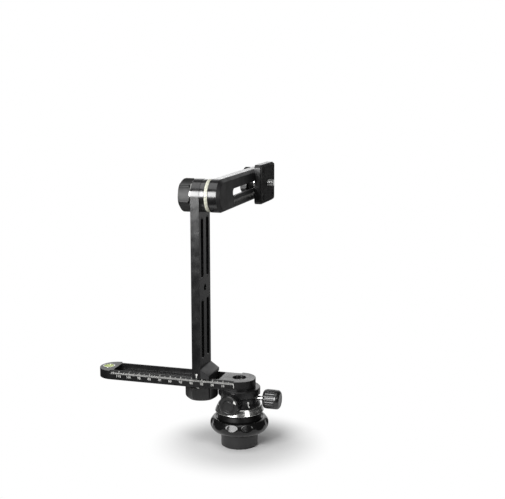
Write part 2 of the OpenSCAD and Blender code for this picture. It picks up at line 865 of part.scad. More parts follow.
module pan_lock_knob() {
    color([0.12, 0.12, 0.13])
        translate([lock_knob_x, 0, z_control])
            rotate([0, 90, 0])
                difference() {
                    rotate_extrude()
                        polygon(concat([[0, 0], [lock_knob_r - 1.4, 0], [lock_knob_r - 0.4, 1],
                                [lock_knob_r, 3]],
                            arc_points(lock_knob_r - 3, lock_knob_l - 3, 3, 3, 0, 90, 6),
                            [[0, lock_knob_l]]));
                    ring_of(lock_flutes)
                        translate([lock_knob_r + lock_flute_r * 0.3, 0, -1])
                            cylinder(r = lock_flute_r, h = lock_knob_l - lock_flute_end);
                    translate([0, 0, -1])
                        cylinder(r = lock_screw_r, h = 1 + lock_screw_end - lock_knob_x);
                }
}

// ---- Carriage: the upright, its foot and the tilt bearing

// A tongue in the lower arm's channel, with a sloped gusset in front of the upright
module carriage_block() {
    color([0.11, 0.11, 0.12])
        difference() {
            union() {
                translate([x_back, -tongue_w / 2, z_tongue])
                    cube([x_gusset - x_back, tongue_w, z_foot - z_tongue]);
                translate([x_face, -tongue_w / 2, z_tongue])
                    cube([gusset_l, tongue_w, z_foot - z_tongue + gusset_lip / 2]);
                rotate([90, 0, 0])
                    linear_extrude(bar_w, center = true)
                        polygon([[x_face, z_foot], [x_gusset, z_foot], [x_gusset, z_foot + gusset_lip],
                            [x_face, z_foot + gusset_h]]);
            }
            translate([-carriage_x, 0, z_tongue - 1])
                cylinder(r = stud_r, h = channel_depth + 2);
            for (side = [-1, 1])
                rod_x(small_screw_r, x_face - 1, x_face + foot_screw_bite, side * foot_screw_y, foot_screw_z);
        }
}

module window_row(z) {
    for (side = [-1, 1])
        translate([side * window_pitch / 2, z_top + z + window_w / 2])
            rotate(90)
                stadium(0, window_l - window_w, window_w / 2);
}

module upright() {
    color([0.13, 0.13, 0.14])
        difference() {
            slab_x(x_back, x_face)
                difference() {
                    union() {
                        translate([-bar_w / 2, z_foot])
                            square([bar_w, z_tilt - z_foot]);
                        translate([0, z_tilt])
                            circle(r = bar_w / 2);
                    }
                    window_row(low_window_z);
                    window_row(high_window_z);
                }
            rod_x(middle_hole_r, x_back - 1, x_face + 1, 0, z_top + middle_hole_z);
            rod_x(tilt_bush_r, x_back - 1, x_face + 1, 0, z_tilt);
            translate([-carriage_x, 0, z_foot - 1])
                cylinder(r = stud_r, h = stud_bite + 1);
            for (side = [-1, 1]) {
                rod_x(small_screw_r + screw_gap, x_back - 1, x_face + 1, side * foot_screw_y, foot_screw_z);
                rod_x(small_head_r + screw_gap, x_back - 1, x_back + small_head_h, side * foot_screw_y,
                    foot_screw_z);
            }
            translate([0, 0, z_tilt])
                rotate([0, 90, 0])
                    ring_of(3)
                        translate([hub_screw_d, 0, x_back - 1]) {
                            cylinder(r = small_screw_r + screw_gap, h = upright_t + 2);
                            cylinder(r = small_head_r + screw_gap, h = 1 + small_head_h);
                        }
        }
}

// A socket head screw along +X with the top of its head at X = 0
module head_screw_x(l) {
    translate([small_head_h, 0, 0])
        rotate([0, -90, 0])
            cap_screw(small_screw_r, small_head_r, small_head_h, l);
}

module foot_screws() {
    color([0.5, 0.5, 0.52])
        for (side = [-1, 1])
            translate([x_back, side * foot_screw_y, foot_screw_z])
                head_screw_x(upright_t - small_head_h + foot_screw_bite);
}

module carriage_stud() {
    color([0.66, 0.66, 0.68])
        translate([-carriage_x, 0, z_clamp_knob + knob_skin + 0.5])
            cylinder(r = stud_r, h = z_foot + stud_bite - z_clamp_knob - knob_skin - 0.5);
}

module clamp_washer() {
    color([0.70, 0.70, 0.72])
        translate([-carriage_x, 0, z_clamp_washer])
            difference() {
                cylinder(r = clamp_washer_r, h = clamp_washer_t);
                translate([0, 0, -1])
                    cylinder(r = stud_r + run_gap, h = clamp_washer_t + 2);
            }
}

module carriage_knob() {
    color([0.09, 0.09, 0.10])
        translate([-carriage_x, 0, z_clamp_knob])
            clamp_knob(clamp_knob_h, stud_r + run_gap, knob_skin, clamp_scallop_from);
}

module tilt_hub() {
    color([0.10, 0.10, 0.11])
        difference() {
            rod_x(tilt_hub_r, x_face, x_hub, 0, z_tilt);
            rod_x(tilt_bush_r, x_face - 1, x_hub + 1, 0, z_tilt);
            translate([0, 0, z_tilt])
                rotate([0, 90, 0])
                    ring_of(3)
                        translate([hub_screw_d, 0, x_face - 1])
                            cylinder(r = small_screw_r, h = 1 + hub_screw_bite);
        }
}

module hub_screws() {
    color([0.5, 0.5, 0.52])
        translate([x_back, 0, z_tilt])
            for (i = [0 : 2])
                rotate([i * 120, 0, 0])
                    translate([0, 0, -hub_screw_d])
                        head_screw_x(upright_t - small_head_h + hub_screw_bite);
}

module tilt_degree_ring() {
    color([0.86, 0.86, 0.80])
        difference() {
            rod_x(tilt_hub_r, x_hub, x_ring, 0, z_tilt);
            rod_x(friction_r, x_hub - 1, x_ring + 1, 0, z_tilt);
        }
}

module tilt_bush() {
    color([0.70, 0.52, 0.28])
        difference() {
            rod_x(tilt_bush_r, x_back, x_hub, 0, z_tilt);
            rod_x(tilt_stud_r + run_gap, x_back - 1, x_hub + 1, 0, z_tilt);
        }
}

module friction_disc() {
    color([0.45, 0.30, 0.18])
        difference() {
            rod_x(friction_r, x_hub, x_ring, 0, z_tilt);
            rod_x(tilt_stud_r + run_gap, x_hub - 1, x_ring + 1, 0, z_tilt);
        }
}

module tilt_washer() {
    color([0.78, 0.78, 0.80])
        difference() {
            rod_x(tilt_washer_r, x_tilt_washer, x_tilt_washer + tilt_washer_t, 0, z_tilt);
            rod_x(tilt_stud_r + run_gap, x_tilt_washer - 1, x_back, 0, z_tilt);
        }
}

module tilt_knob() {
    color([0.09, 0.09, 0.10])
        translate([x_tilt_knob, 0, z_tilt])
            rotate([0, 90, 0])
                clamp_knob(tilt_knob_t, tilt_stud_r + run_gap, knob_end_skin, knob_scallop_from);
}

// ---- Tilting rail

module tilt_stud() {
    color([0.66, 0.66, 0.68]) {
        rod_x(tilt_stud_r, x_tilt_knob + knob_end_skin + 0.5, x_rail + stud_in_rail, 0, z_tilt);
        rod_x(stud_flange_r, x_rail, x_rail + stud_flange_t, 0, z_tilt);
    }
}

// One round end of the rail, bevelled on its camera side
module rail_end(y) {
    rod_x(bar_w / 2, x_rail, x_rail_face - bevel, y, z_tilt);
    translate([x_rail_face - bevel, y, z_tilt])
        rotate([0, 90, 0])
            cylinder(r1 = bar_w / 2, r2 = bar_w / 2 - bevel, h = bevel);
}

module camera_rail() {
    color([0.11, 0.11, 0.12])
        difference() {
            union() {
                rail_end(0);
                rail_end(rail_far);
                translate([0, rail_far, z_tilt])
                    rotate([90, 0, 0])
                        linear_extrude(rail_far)
                            polygon([[x_rail, -bar_w / 2], [x_rail_face - bevel, -bar_w / 2],
                                [x_rail_face, bevel - bar_w / 2], [x_rail_face, bar_w / 2 - bevel],
                                [x_rail_face - bevel, bar_w / 2], [x_rail, bar_w / 2]]);
            }
            translate([0, 0, z_tilt])
                slab_x(x_rail - 1, x_rail_face + 1)
                    stadium(rail_slot_near + rail_slot_w / 2, rail_slot_far - rail_slot_w / 2,
                        rail_slot_w / 2);
            translate([0, 0, z_tilt])
                slab_x(x_rail - 1, x_web)
                    round_rect([rail_slot_near - relief_past, -relief_w / 2],
                        [rail_slot_far + relief_past, relief_w / 2], channel_corner);
            rod_x(tilt_stud_r, x_rail - 1, x_rail + stud_in_rail, 0, z_tilt);
            rod_x(stud_flange_r, x_rail - 1, x_rail + stud_flange_t, 0, z_tilt);
        }
}

// Slides on the rail's camera side, guided by two keys in its slot
module camera_plate() {
    color([0.12, 0.12, 0.13])
        difference() {
            union() {
                translate([0, 0, z_tilt])
                    slab_x(x_plate, x_pad)
                        round_rect([camera_y - plate_l / 2, -plate_w / 2],
                            [camera_y + plate_l / 2, plate_w / 2], plate_corner);
                for (side = [-1, 1])
                    translate([0, camera_y, z_tilt])
                        slab_x(x_rail_face - key_depth, x_plate)
                            stadium(side * (key_near + key_far) / 2 - 0.1,
                                side * (key_near + key_far) / 2 + 0.1, rail_slot_w / 2 - slide_gap);
            }
            rod_x(camera_screw_r + run_gap, x_rail, x_pad + 1, camera_y, z_tilt);
            for (y = [-1, 1], z = [-1, 1])
                rod_x(small_screw_r, x_pad - 4, x_pad + 1, camera_y + y * plate_screw_y,
                    z_tilt + z * plate_screw_z);
        }
}

module plate_pad() {
    color([0.06, 0.06, 0.06])
        difference() {
            translate([0, 0, z_tilt])
                slab_x(x_pad, x_pad_face)
                    round_rect([camera_y - plate_l / 2 + 1, 1 - plate_w / 2],
                        [camera_y + plate_l / 2 - 1, plate_w / 2 - 1], plate_corner - 1);
            rod_x(camera_screw_r + 1, x_pad - 1, x_pad_face + 1, camera_y, z_tilt);
            for (y = [-1, 1], z = [-1, 1])
                rod_x(small_head_r + screw_gap, x_pad - 1, x_pad_face + 1, camera_y + y * plate_screw_y,
                    z_tilt + z * plate_screw_z);
        }
}

// Flat button heads that hold the pad's backing to the plate, below the pad's face
module plate_screws() {
    color([0.5, 0.5, 0.52])
        for (y = [-1, 1], z = [-1, 1])
            translate([x_pad, camera_y + y * plate_screw_y, z_tilt + z * plate_screw_z])
                rotate([0, 90, 0])
                    cap_screw(small_screw_r, small_head_r, pad_t - 0.5, 3.5);
}

module plate_washer() {
    color([0.70, 0.70, 0.72])
        difference() {
            rod_x(plate_washer_r, x_plate_washer, x_plate_washer + plate_washer_t, camera_y, z_tilt);
            rod_x(screw_neck_r + run_gap, x_plate_washer - 1, x_web, camera_y, z_tilt);
        }
}

module plate_knob() {
    color([0.09, 0.09, 0.10])
        difference() {
            union() {
                translate([x_plate_knob, camera_y, z_tilt])
                    rotate([0, 90, 0]) {
                        cylinder(r1 = plate_knob_r - 1, r2 = plate_knob_r, h = 1);
                        translate([0, 0, 1])
                            cylinder(r = plate_knob_r, h = plate_knob_t - 1);
                    }
                rod_x(plate_boss_r, x_plate_knob, x_plate_boss, camera_y, z_tilt);
            }
            translate([x_plate_knob, camera_y, z_tilt])
                rotate([0, 90, 0]) {
                    ring_of(knob_scallops, knob_scallop_from)
                        translate([plate_knob_r + knob_scallop_r - knob_scallop_depth, 0, -1])
                            cylinder(r = knob_scallop_r, h = plate_knob_t + 2);
                    translate([0, 0, knob_end_skin])
                        cylinder(r = screw_neck_r, h = plate_knob_t + rail_t);
                }
        }
}

// A quarter-inch stud fixed in the knob, standing out of the pad for the camera
module camera_screw() {
    color([0.72, 0.72, 0.74]) {
        rod_x(screw_neck_r, x_plate_knob + knob_end_skin, x_pad_face, camera_y, z_tilt);
        rod_x(camera_screw_r, x_pad_face, x_pad_face + screw_reach - 0.5, camera_y, z_tilt);
        translate([x_pad_face + screw_reach - 0.5, camera_y, z_tilt])
            rotate([0, 90, 0])
                cylinder(r1 = camera_screw_r, r2 = camera_screw_r - 0.5, h = 0.5);
    }
}

base_foot();
grip_ring();
grip_set_screws();
base_disc();
base_screws();
degree_ring();
detent_ring();
spindle();
spindle_washer();
spindle_nut();
rotor_housing();
pan_bush();
pivot_cap();
arm_dowels();
arm_bolt();
lower_arm();
bubble_cup();
bubble_vial();
selector_shaft();
selector_dial();
dial_disc();
detent_plunger();
detent_spring();
brake_pad();
pan_lock_screw();
pan_lock_knob();
carriage_block();
upright();
foot_screws();
carriage_stud();
clamp_washer();
carriage_knob();
tilt_hub();
hub_screws();
tilt_degree_ring();
tilt_bush();
friction_disc();
tilt_washer();
tilt_knob();
tilt_stud();
camera_rail();
camera_plate();
plate_pad();
plate_screws();
plate_washer();
plate_knob();
camera_screw();
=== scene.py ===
"""The looks of a panoramic tripod head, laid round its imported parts. Metres, +Z up along the pan axis,
+X from the lower arm towards the pan lock, +Y back along the camera rail."""
import json
import math

import bmesh
import bpy
import numpy as np
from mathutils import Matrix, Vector


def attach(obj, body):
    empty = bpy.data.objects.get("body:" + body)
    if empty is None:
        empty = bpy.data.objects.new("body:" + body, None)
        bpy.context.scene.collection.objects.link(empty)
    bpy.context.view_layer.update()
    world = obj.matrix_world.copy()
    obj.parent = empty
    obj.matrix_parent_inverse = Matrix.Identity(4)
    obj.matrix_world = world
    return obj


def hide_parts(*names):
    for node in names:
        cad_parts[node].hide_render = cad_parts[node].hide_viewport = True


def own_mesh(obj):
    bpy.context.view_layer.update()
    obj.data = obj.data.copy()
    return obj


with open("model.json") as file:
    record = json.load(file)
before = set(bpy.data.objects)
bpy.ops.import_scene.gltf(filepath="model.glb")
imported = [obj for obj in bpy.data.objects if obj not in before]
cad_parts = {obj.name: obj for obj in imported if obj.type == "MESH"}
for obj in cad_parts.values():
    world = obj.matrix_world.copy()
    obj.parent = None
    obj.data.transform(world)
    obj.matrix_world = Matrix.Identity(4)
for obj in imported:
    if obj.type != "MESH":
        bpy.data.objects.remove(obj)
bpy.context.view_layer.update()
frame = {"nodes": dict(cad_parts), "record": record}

# Tripod foot: turned from aluminium bar, blasted and anodised black, with a threaded steel sleeve
# pressed in from below for the tripod's stud.
MM = 0.001
TURN = 2 * math.pi
RIGHT, BACK, UP = np.eye(3)
BOX_FACES = [[0, 1, 3, 2], [4, 6, 7, 5], [0, 4, 5, 1], [2, 3, 7, 6], [0, 2, 6, 4], [1, 5, 7, 3]]
carrier = {node: body for body, nodes in frame["record"]["behaviour"]["bodies"].items() for node in nodes}


def wire(tree, kind, inputs=(), **settings):
    """One shader node: settings fill its properties, inputs its sockets, from a number or from a socket."""
    node = tree.nodes.new("ShaderNode" + kind)
    for key, value in settings.items():
        setattr(node, key, value)
    for key, value in dict(inputs).items():
        if isinstance(value, bpy.types.NodeSocket):
            tree.links.new(value, node.inputs[key])
        else:
            node.inputs[key].default_value = value
    return node


def blank(name, **constants):
    """A new material: its tree, its shader with the constants set, and its Object coordinates."""
    made = bpy.data.materials.new(name)
    made.use_nodes = True
    tree = made.node_tree
    shader = tree.nodes["Principled BSDF"]
    for key, value in constants.items():
        shader.inputs[key.replace("_", " ")].default_value = value
    return made, tree, shader, wire(tree, "TexCoord").outputs["Object"]


def speckle(tree, place, scale, detail=2.0, low=0.35, high=0.65):
    """Noise of so many grains to the metre, spread from 0 at the low level to 1 at the high one."""
    noise = wire(tree, "TexNoise", {"Vector": place, "Scale": scale, "Detail": detail})
    return wire(tree, "MapRange", {"Value": noise.outputs["Fac"], "From Min": low,
                                   "From Max": high}).outputs[0]


def between(tree, amount, first, second):
    """A colour that goes from first to second as the amount goes from 0 to 1."""
    mix = wire(tree, "Mix", {"Factor": amount}, data_type="RGBA")
    for socket, value in (("A_Color", first), ("B_Color", second)):
        target = next(s for s in mix.inputs if s.identifier == socket)
        if isinstance(value, bpy.types.NodeSocket):
            tree.links.new(value, target)
        else:
            target.default_value = (*value, 1)
    return next(s for s in mix.outputs if s.identifier == "Result_Color")


def roughness_by(tree, shader, amount, first, last):
    """Roughness that goes from first to last as the amount goes from 0 to 1."""
    tree.links.new(wire(tree, "MapRange", {"Value": amount, "To Min": first, "To Max": last}).outputs[0],
                   shader.inputs["Roughness"])


def bump_by_height(tree, shader, height, strength, distance):
    """Raises and lowers the surface in the shading by the height, over the distance."""
    bump = wire(tree, "Bump", {"Height": height, "Strength": strength, "Distance": distance})
    tree.links.new(bump.outputs[0], shader.inputs["Normal"])


def worn_edges(tree, place, width):
    """1 on convex and concave edges and 0 on open faces: the true normal against one rounded over the width,
    broken up by a millimetre noise."""
    round_normal = wire(tree, "Bevel", {"Radius": width}, samples=4)
    true_normal = wire(tree, "NewGeometry")
    turn = wire(tree, "VectorMath", {0: round_normal.outputs[0], 1: true_normal.outputs["Normal"]},
                operation="DOT_PRODUCT")
    edge = wire(tree, "MapRange", {"Value": turn.outputs["Value"], "From Min": 0.995, "From Max": 0.9})
    broken = speckle(tree, place, 900, 3, 0.4, 0.7)
    return wire(tree, "Math", {0: edge.outputs[0], 1: broken}, operation="MULTIPLY").outputs[0]


def blasted_black(name, tone=0.006, rough=0.30, wear=0.045, level=0.6):
    """Blasted and black anodised aluminium: a tone that drifts over centimetres, a 0.2 mm grain, finger
    polish in the roughness and edges rubbed paler."""
    made, tree, shader, place = blank(name, Specular_IOR_Level=level)
    drift = speckle(tree, place, 55, 3, 0.3, 0.7)
    grain = speckle(tree, place, 4200, 2, 0.3, 0.7)
    body = between(tree, drift, (tone, tone, tone * 1.06), (tone * 1.4, tone * 1.4, tone * 1.46))
    fine = between(tree, wire(tree, "Math", {0: grain, 1: 0.35}, operation="MULTIPLY").outputs[0],
                   body, (tone * 2.0, tone * 2.0, tone * 2.1))
    colour = between(tree, worn_edges(tree, place, 0.35 * MM), fine, (wear, wear, wear * 1.02))
    tree.links.new(colour, shader.inputs["Base Color"])
    roughness_by(tree, shader, speckle(tree, place, 120, 4, 0.3, 0.7), rough - 0.05, rough + 0.07)
    bump_by_height(tree, shader, grain, 0.14, 0.02 * MM)
    return made


def turned_finish(name, pale, dark, rough, origin, axis, metallic=1.0, ring=2600, bump_by=0.25, edge=0.02,
                  **constants):
    """Lathe-turned metal: tool lines run round the axis. Their noise reads only the distance from the axis
    and the height along it, so they are rings on end faces and bands on the sides."""
    made, tree, shader, place = blank(name, Metallic=metallic, **constants)
    local = wire(tree, "VectorMath", {0: place, 1: tuple(origin)}, operation="SUBTRACT").outputs[0]
    height = wire(tree, "VectorMath", {0: local, 1: tuple(axis)}, operation="DOT_PRODUCT").outputs["Value"]
    along = wire(tree, "VectorMath", {0: tuple(axis), "Scale": height}, operation="SCALE").outputs[0]
    across = wire(tree, "VectorMath", {0: local, 1: along}, operation="SUBTRACT").outputs[0]
    radius = wire(tree, "VectorMath", {0: across}, operation="LENGTH").outputs["Value"]
    lines = wire(tree, "CombineXYZ", {"X": radius, "Y": height}).outputs[0]
    tool = speckle(tree, lines, ring, 2, 0.3, 0.7)
    smear = speckle(tree, place, 260, 4, 0.35, 0.7)
    both = wire(tree, "Math", {0: tool, 1: smear}, operation="MULTIPLY").outputs[0]
    # Edges are made paler by the edge amount. At the small default this is rubbed wear; with a large amount
    # it is a painted highlight on the ridges.
    colour = between(tree, worn_edges(tree, place, 0.25 * MM), between(tree, both, pale, dark),
                     tuple(min(1.0, c * 1.5 + edge) for c in pale))
    tree.links.new(colour, shader.inputs["Base Color"])
    roughness_by(tree, shader, both, rough, rough + 0.14)
    bump_by_height(tree, shader, tool, bump_by, 0.02 * MM)
    return made


def fit_out(piece, material, like=None, body=None, replace=True):
    """Gives a new piece its finish and its carrier, taken from the CAD node that it is like, if there is
    one, and lets it stand for that node."""
    piece.data.materials.clear()
    piece.data.materials.append(material)
    bpy.context.scene.collection.objects.link(piece)
    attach(piece, body or carrier[like])
    if like and replace:
        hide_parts(like)
    return piece


def dress(node, material):
    """A CAD node that keeps its own shape gets a finish in its own slots."""
    for held in frame["nodes"][node].material_slots:
        held.material = material


def eased(node, width, segments=2, turn=28):
    """A merged copy of a CAD node. Its flat triangles are joined to whole faces and its sharp edges broken
    by a bevel of the given width."""
    mesh = frame["nodes"][node].data.copy()
    work = bmesh.new()
    work.from_mesh(mesh)
    bmesh.ops.remove_doubles(work, verts=work.verts, dist=0.002 * MM)
    bmesh.ops.dissolve_limit(work, angle_limit=math.radians(0.6), verts=work.verts, edges=work.edges)
    bmesh.ops.recalc_face_normals(work, faces=work.faces)
    work.to_mesh(mesh)
    work.free()
    mesh.shade_smooth()
    mesh.set_sharp_from_angle(angle=math.radians(turn))
    piece = bpy.data.objects.new(node + "_worked", mesh)
    edge = piece.modifiers.new("broken_edges", "BEVEL")
    edge.width, edge.segments, edge.limit_method = width, segments, "ANGLE"
    edge.angle_limit, edge.harden_normals = math.radians(turn), True
    return piece


def eased_line(points, radius, steps=4):
    """A profile with every corner rounded: near corner P the line leaves its straight sides at the radius,
    or at half a short side, and follows the curve (1-t)^2 A + 2t(1-t) P + t^2 C. Its two ends stay."""
    line = np.asarray(points, float)
    before, corner, after = line[:-2], line[1:-1], line[2:]
    sides = [(other - corner) / np.linalg.norm(other - corner, axis=1)[:, None]
             * np.minimum(radius, 0.5 * np.linalg.norm(other - corner, axis=1))[:, None]
             for other in (before, after)]
    t = np.linspace(0, 1, steps + 1)[None, :, None]
    a, p, c = (corner + sides[0])[:, None], corner[:, None], (corner + sides[1])[:, None]
    curve = (1 - t) ** 2 * a + 2 * t * (1 - t) * p + t ** 2 * c
    return np.vstack([line[:1], curve.reshape(-1, 2), line[-1:]])


def skin(name, grid, turn=32):
    """A mesh over a grid of points [row, column]: quads join neighbours, the columns close on themselves, and
    doubled points at poles and seams are merged."""
    rows, columns = grid.shape[:2]
    index = np.arange(rows * columns).reshape(rows, columns)
    faces = np.stack([index[:-1], np.roll(index, -1, 1)[:-1], np.roll(index, -1, 1)[1:], index[1:]], -1)
    mesh = bpy.data.meshes.new(name)
    mesh.from_pydata((grid.reshape(-1, 3) * MM).tolist(), [], faces.reshape(-1, 4).tolist())
    work = bmesh.new()
    work.from_mesh(mesh)
    bmesh.ops.remove_doubles(work, verts=work.verts, dist=0.001 * MM)
    bmesh.ops.dissolve_degenerate(work, edges=work.edges, dist=0.0005 * MM)
    bmesh.ops.recalc_face_normals(work, faces=work.faces)
    work.to_mesh(mesh)
    work.free()
    mesh.shade_smooth()
    mesh.set_sharp_from_angle(angle=math.radians(turn))
    return bpy.data.objects.new(name, mesh)


def turned(name, profile, origin=(0, 0, 0), axis=UP, side=RIGHT, columns=192, cut=None, turn=32):
    """A profile of (radius, height) points carried round an axis. cut(radius, height, angle) gives the radius
    left after grips or threads are cut. Point = origin + r cos(angle) side + r sin(angle) cross + h axis."""
    axis, side = np.asarray(axis, float), np.asarray(side, float)
    angle = np.linspace(0, TURN, columns, endpoint=False)[None, :]
    radius, height = (np.repeat(np.asarray(profile)[:, [k]], columns, 1) for k in (0, 1))
    if cut is not None:
        radius = cut(radius, height, angle)
    cross = np.cross(axis, side)
    grid = (radius * np.cos(angle))[..., None] * side + (radius * np.sin(angle))[..., None] * cross
    return skin(name, grid + height[..., None] * axis + np.asarray(origin, float), turn)


def thread(radius, depth, pitch, start, end):
    """A cut for turned: a triangle wave of the height and the angle, (h/pitch - angle/2pi), takes up to the
    depth off the radius between the two heights, fading in over half a pitch."""
    def cut(r, h, angle):
        wave = np.abs(((h / pitch - angle / TURN) % 1.0) * 2 - 1)
        fade = np.clip((h - start) / pitch * 2, 0, 1) * np.clip((end - h) / pitch * 2, 0, 1)
        return np.where(np.abs(r - radius) < 0.01, r - depth * wave * fade, r)
    return cut


foot_black = blasted_black("foot_black", 0.007, 0.34)
fit_out(eased("base_foot", 0.25 * MM), foot_black, "base_foot")
insert_steel = turned_finish("insert_steel", (0.52, 0.51, 0.49), (0.30, 0.29, 0.28), 0.25, (0, 0, 0), UP)
sleeve_bore, sleeve_out, sleeve_low, sleeve_high = 4.0, 4.75, 0.2, 11.8
sleeve_pitch, sleeve_depth = 1.5875, 0.62
sleeve_levels = np.linspace(sleeve_low, sleeve_high, 130)
sleeve = np.vstack([np.stack([np.full(130, sleeve_bore), sleeve_levels], 1),
                    [[sleeve_out, sleeve_high], [sleeve_out, sleeve_low], [sleeve_bore, sleeve_low]]])


def sleeve_cut(r, h, angle):
    """The inner thread: a triangle wave of the height and the angle, (h/pitch - angle/2pi), deepens the
    bore. The outside stays."""
    wave = np.abs(((h / sleeve_pitch - angle / TURN) % 1) * 2 - 1)
    return np.where(r < sleeve_out, sleeve_bore + sleeve_depth * wave, r)


fit_out(turned("tripod_thread_sleeve", sleeve, columns=64, cut=sleeve_cut), insert_steel, body="base")

# Grip ring: turned aluminium rim with twelve milled finger hollows and a raised lip, polished and
# anodised black, pressed on the foot and held by two grub screws.
z_foot_top, z_disc, z_ring, z_housing, z_control, z_tilt = 13.0, 24.7, 31.9, 38.0, 44.5, 224.4
grip_glossy = turned_finish("grip_glossy", (0.004, 0.004, 0.004), (0.008, 0.008, 0.008), 0.14, (0, 0, 0), UP,
                            metallic=0.0, ring=3400, bump_by=0.12, Specular_IOR_Level=0.4,
                            Coat_Weight=0.3, Coat_Roughness=0.08)


def soft_least(a, b, blend):
    """The smaller of a and b, rounded where they meet: min(a, b) - max(blend - |a - b|, 0)^2 / (4 blend)."""
    near = np.maximum(blend - np.abs(a - b), 0) / blend
    return np.minimum(a, b) - near ** 2 * blend / 4


def hollows(count, first, away, radius, blend=0.5, lean=0.0, level=0.0):
    """A cut for turned: round hollows whose axes lean inwards by the angle, so that each level cuts them in
    an ellipse of half axes a = radius / cos(lean) and b = radius, at c = away - (h - level) tan(lean). On a
    ray at d off the middle the near side is the lower root of (r cos d - c)^2/a^2 + (r sin d)^2/b^2 = 1."""
    step, a = TURN / count, radius / math.cos(lean)
    def cut(r, h, angle):
        d = (angle - first + step / 2) % step - step / 2
        c = away - (h - level) * math.tan(lean)
        square, half = (np.cos(d) / a) ** 2 + (np.sin(d) / radius) ** 2, np.cos(d) * c / a ** 2
        inside = half ** 2 - square * ((c / a) ** 2 - 1)
        wall = np.where(inside > 0, (half - np.sqrt(np.maximum(inside, 0))) / square, 1e3)
        return soft_least(r, wall + 0 * r, blend)
    return cut


def arc(cx, cy, rx, ry, first, last, steps):
    """Points of an ellipse about (cx, cy) from the first to the last angle in degrees."""
    a = np.radians(np.linspace(first, last, steps + 1))
    return np.stack([cx + rx * np.cos(a), cy + ry * np.sin(a)], 1)


grip_side = np.vstack([[[12.5, 0]], arc(18, 7.3, 8.2, 7.3, -90, 0, 26), arc(22, 7.3, 4.2, 5.9, 4, 90, 28),
                       arc(22, 12.9, 0.3, 0.3, 100, 150, 3), [[19.95, 11.75], [19.7, 11.7], [12.5, 11.7]]])
grip_hollow = hollows(12, math.radians(1.3), 52.338, 26, 0.35, math.radians(18), 9.3)
grub_turn, grub_level, grub_hole_r, grub_floor_r = math.radians(16.3), 3.65, 1.5, 20.6
rim_r, core_r = 25.1, 20


def grip_cut(r, h, angle):
    """Finger hollows, and two opposite round holes for the grub screws. A hole is where the way from its
    middle along the side, hypot(rim_r * turn, h - grub_level), is less than its radius."""
    cut = grip_hollow(r, h, angle)
    off = np.abs((angle - grub_turn + math.pi / 2) % math.pi - math.pi / 2) * rim_r
    hole = np.hypot(off, h - grub_level)
    return np.where((hole < grub_hole_r) & (r > core_r), grub_floor_r + 0 * r, cut)


fit_out(turned("grip_rim", grip_side, (0, 0, z_foot_top), columns=720, cut=grip_cut), grip_glossy,
        "grip_ring")

# Base disc: black anodised disc between the rim and the silver ring, turned with a fine feed.
disc_black = turned_finish("disc_black", (0.004, 0.004, 0.004), (0.008, 0.008, 0.008), 0.42, (0, 0, 0), UP,
                           metallic=0.0, ring=3000, bump_by=0.3, Specular_IOR_Level=0.15)
disc_side = eased_line([[5, 0], [19, 0], [19.5, 0.5], [19.5, 1.5], [17.2, 7.2], [5, 7.2]], 0.2)
fit_out(turned("base_disc_turned", np.vstack([disc_side, disc_side[:1]]), (0, 0, z_disc)), disc_black,
        "base_disc")

# Inside the base and housing: socket screws, the click ring, the spindle with its washer and nut, and
# the click's plunger, of steel; the bronze bushes; and the click spring, which gets a mesh of its own.
inner_steel = turned_finish("inner_steel", (0.50, 0.49, 0.48), (0.30, 0.29, 0.28), 0.28, (0, 0, 0), UP)
screw_steel = turned_finish("screw_steel", (0.10, 0.10, 0.105), (0.05, 0.05, 0.055), 0.32, (0, 0, 0), UP,
                            ring=1800)
for node in ("detent_ring", "spindle", "spindle_washer", "spindle_nut", "pivot_cap", "arm_dowels",
             "selector_shaft", "detent_plunger", "detent_spring"):
    dress(node, inner_steel)
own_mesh(frame["nodes"]["detent_spring"])
for node in ("grip_set_screws", "base_screws"):
    dress(node, screw_steel)
bronze, tree, shader, place = blank("sintered_bronze", Metallic=1.0)
pores = speckle(tree, place, 3800, 3, 0.35, 0.6)
tree.links.new(between(tree, pores, (0.23, 0.14, 0.055), (0.55, 0.36, 0.16)), shader.inputs["Base Color"])
roughness_by(tree, shader, pores, 0.55, 0.3)
bump_by_height(tree, shader, pores, 0.3, 0.04 * MM)
for node in ("pan_bush", "tilt_bush", "brake_pad"):
    dress(node, bronze)

# Degree ring: clear anodised aluminium, its side drawn in towards the top, with engraved and
# blacked marks every 2.5 degrees and a plain number every 15.
ring_silver = turned_finish("ring_silver", (0.80, 0.80, 0.78), (0.60, 0.60, 0.58), 0.20, (0, 0, 0), UP,
                            ring=2200)
engraved, tree, shader, place = blank("engraved_black", Specular_IOR_Level=0.3)
fill = speckle(tree, place, 2500, 3)
tree.links.new(between(tree, fill, (0.010, 0.010, 0.011), (0.035, 0.035, 0.036)), shader.inputs["Base Color"])
roughness_by(tree, shader, fill, 0.45, 0.7)


def bars(name, middle, half, way):
    """Many small blocks as one mesh: block i stands at middle[i], reaches half[i] either way along its own
    three directions way[i], and has eight corners and six faces."""
    sign = np.array([[x, y, z] for x in (-1, 1) for y in (-1, 1) for z in (-1, 1)], float)
    middle, half, way = np.asarray(middle, float), np.asarray(half, float), np.asarray(way, float)
    corner = middle[:, None] + np.einsum("nkc,ncd->nkd", sign[None] * half[:, None], way)
    faces = np.array(BOX_FACES)[None] + 8 * np.arange(len(middle))[:, None, None]
    mesh = bpy.data.meshes.new(name)
    mesh.from_pydata((corner.reshape(-1, 3) * MM).tolist(), [], faces.reshape(-1, 4).tolist())
    mesh.update()
    return bpy.data.objects.new(name, mesh)


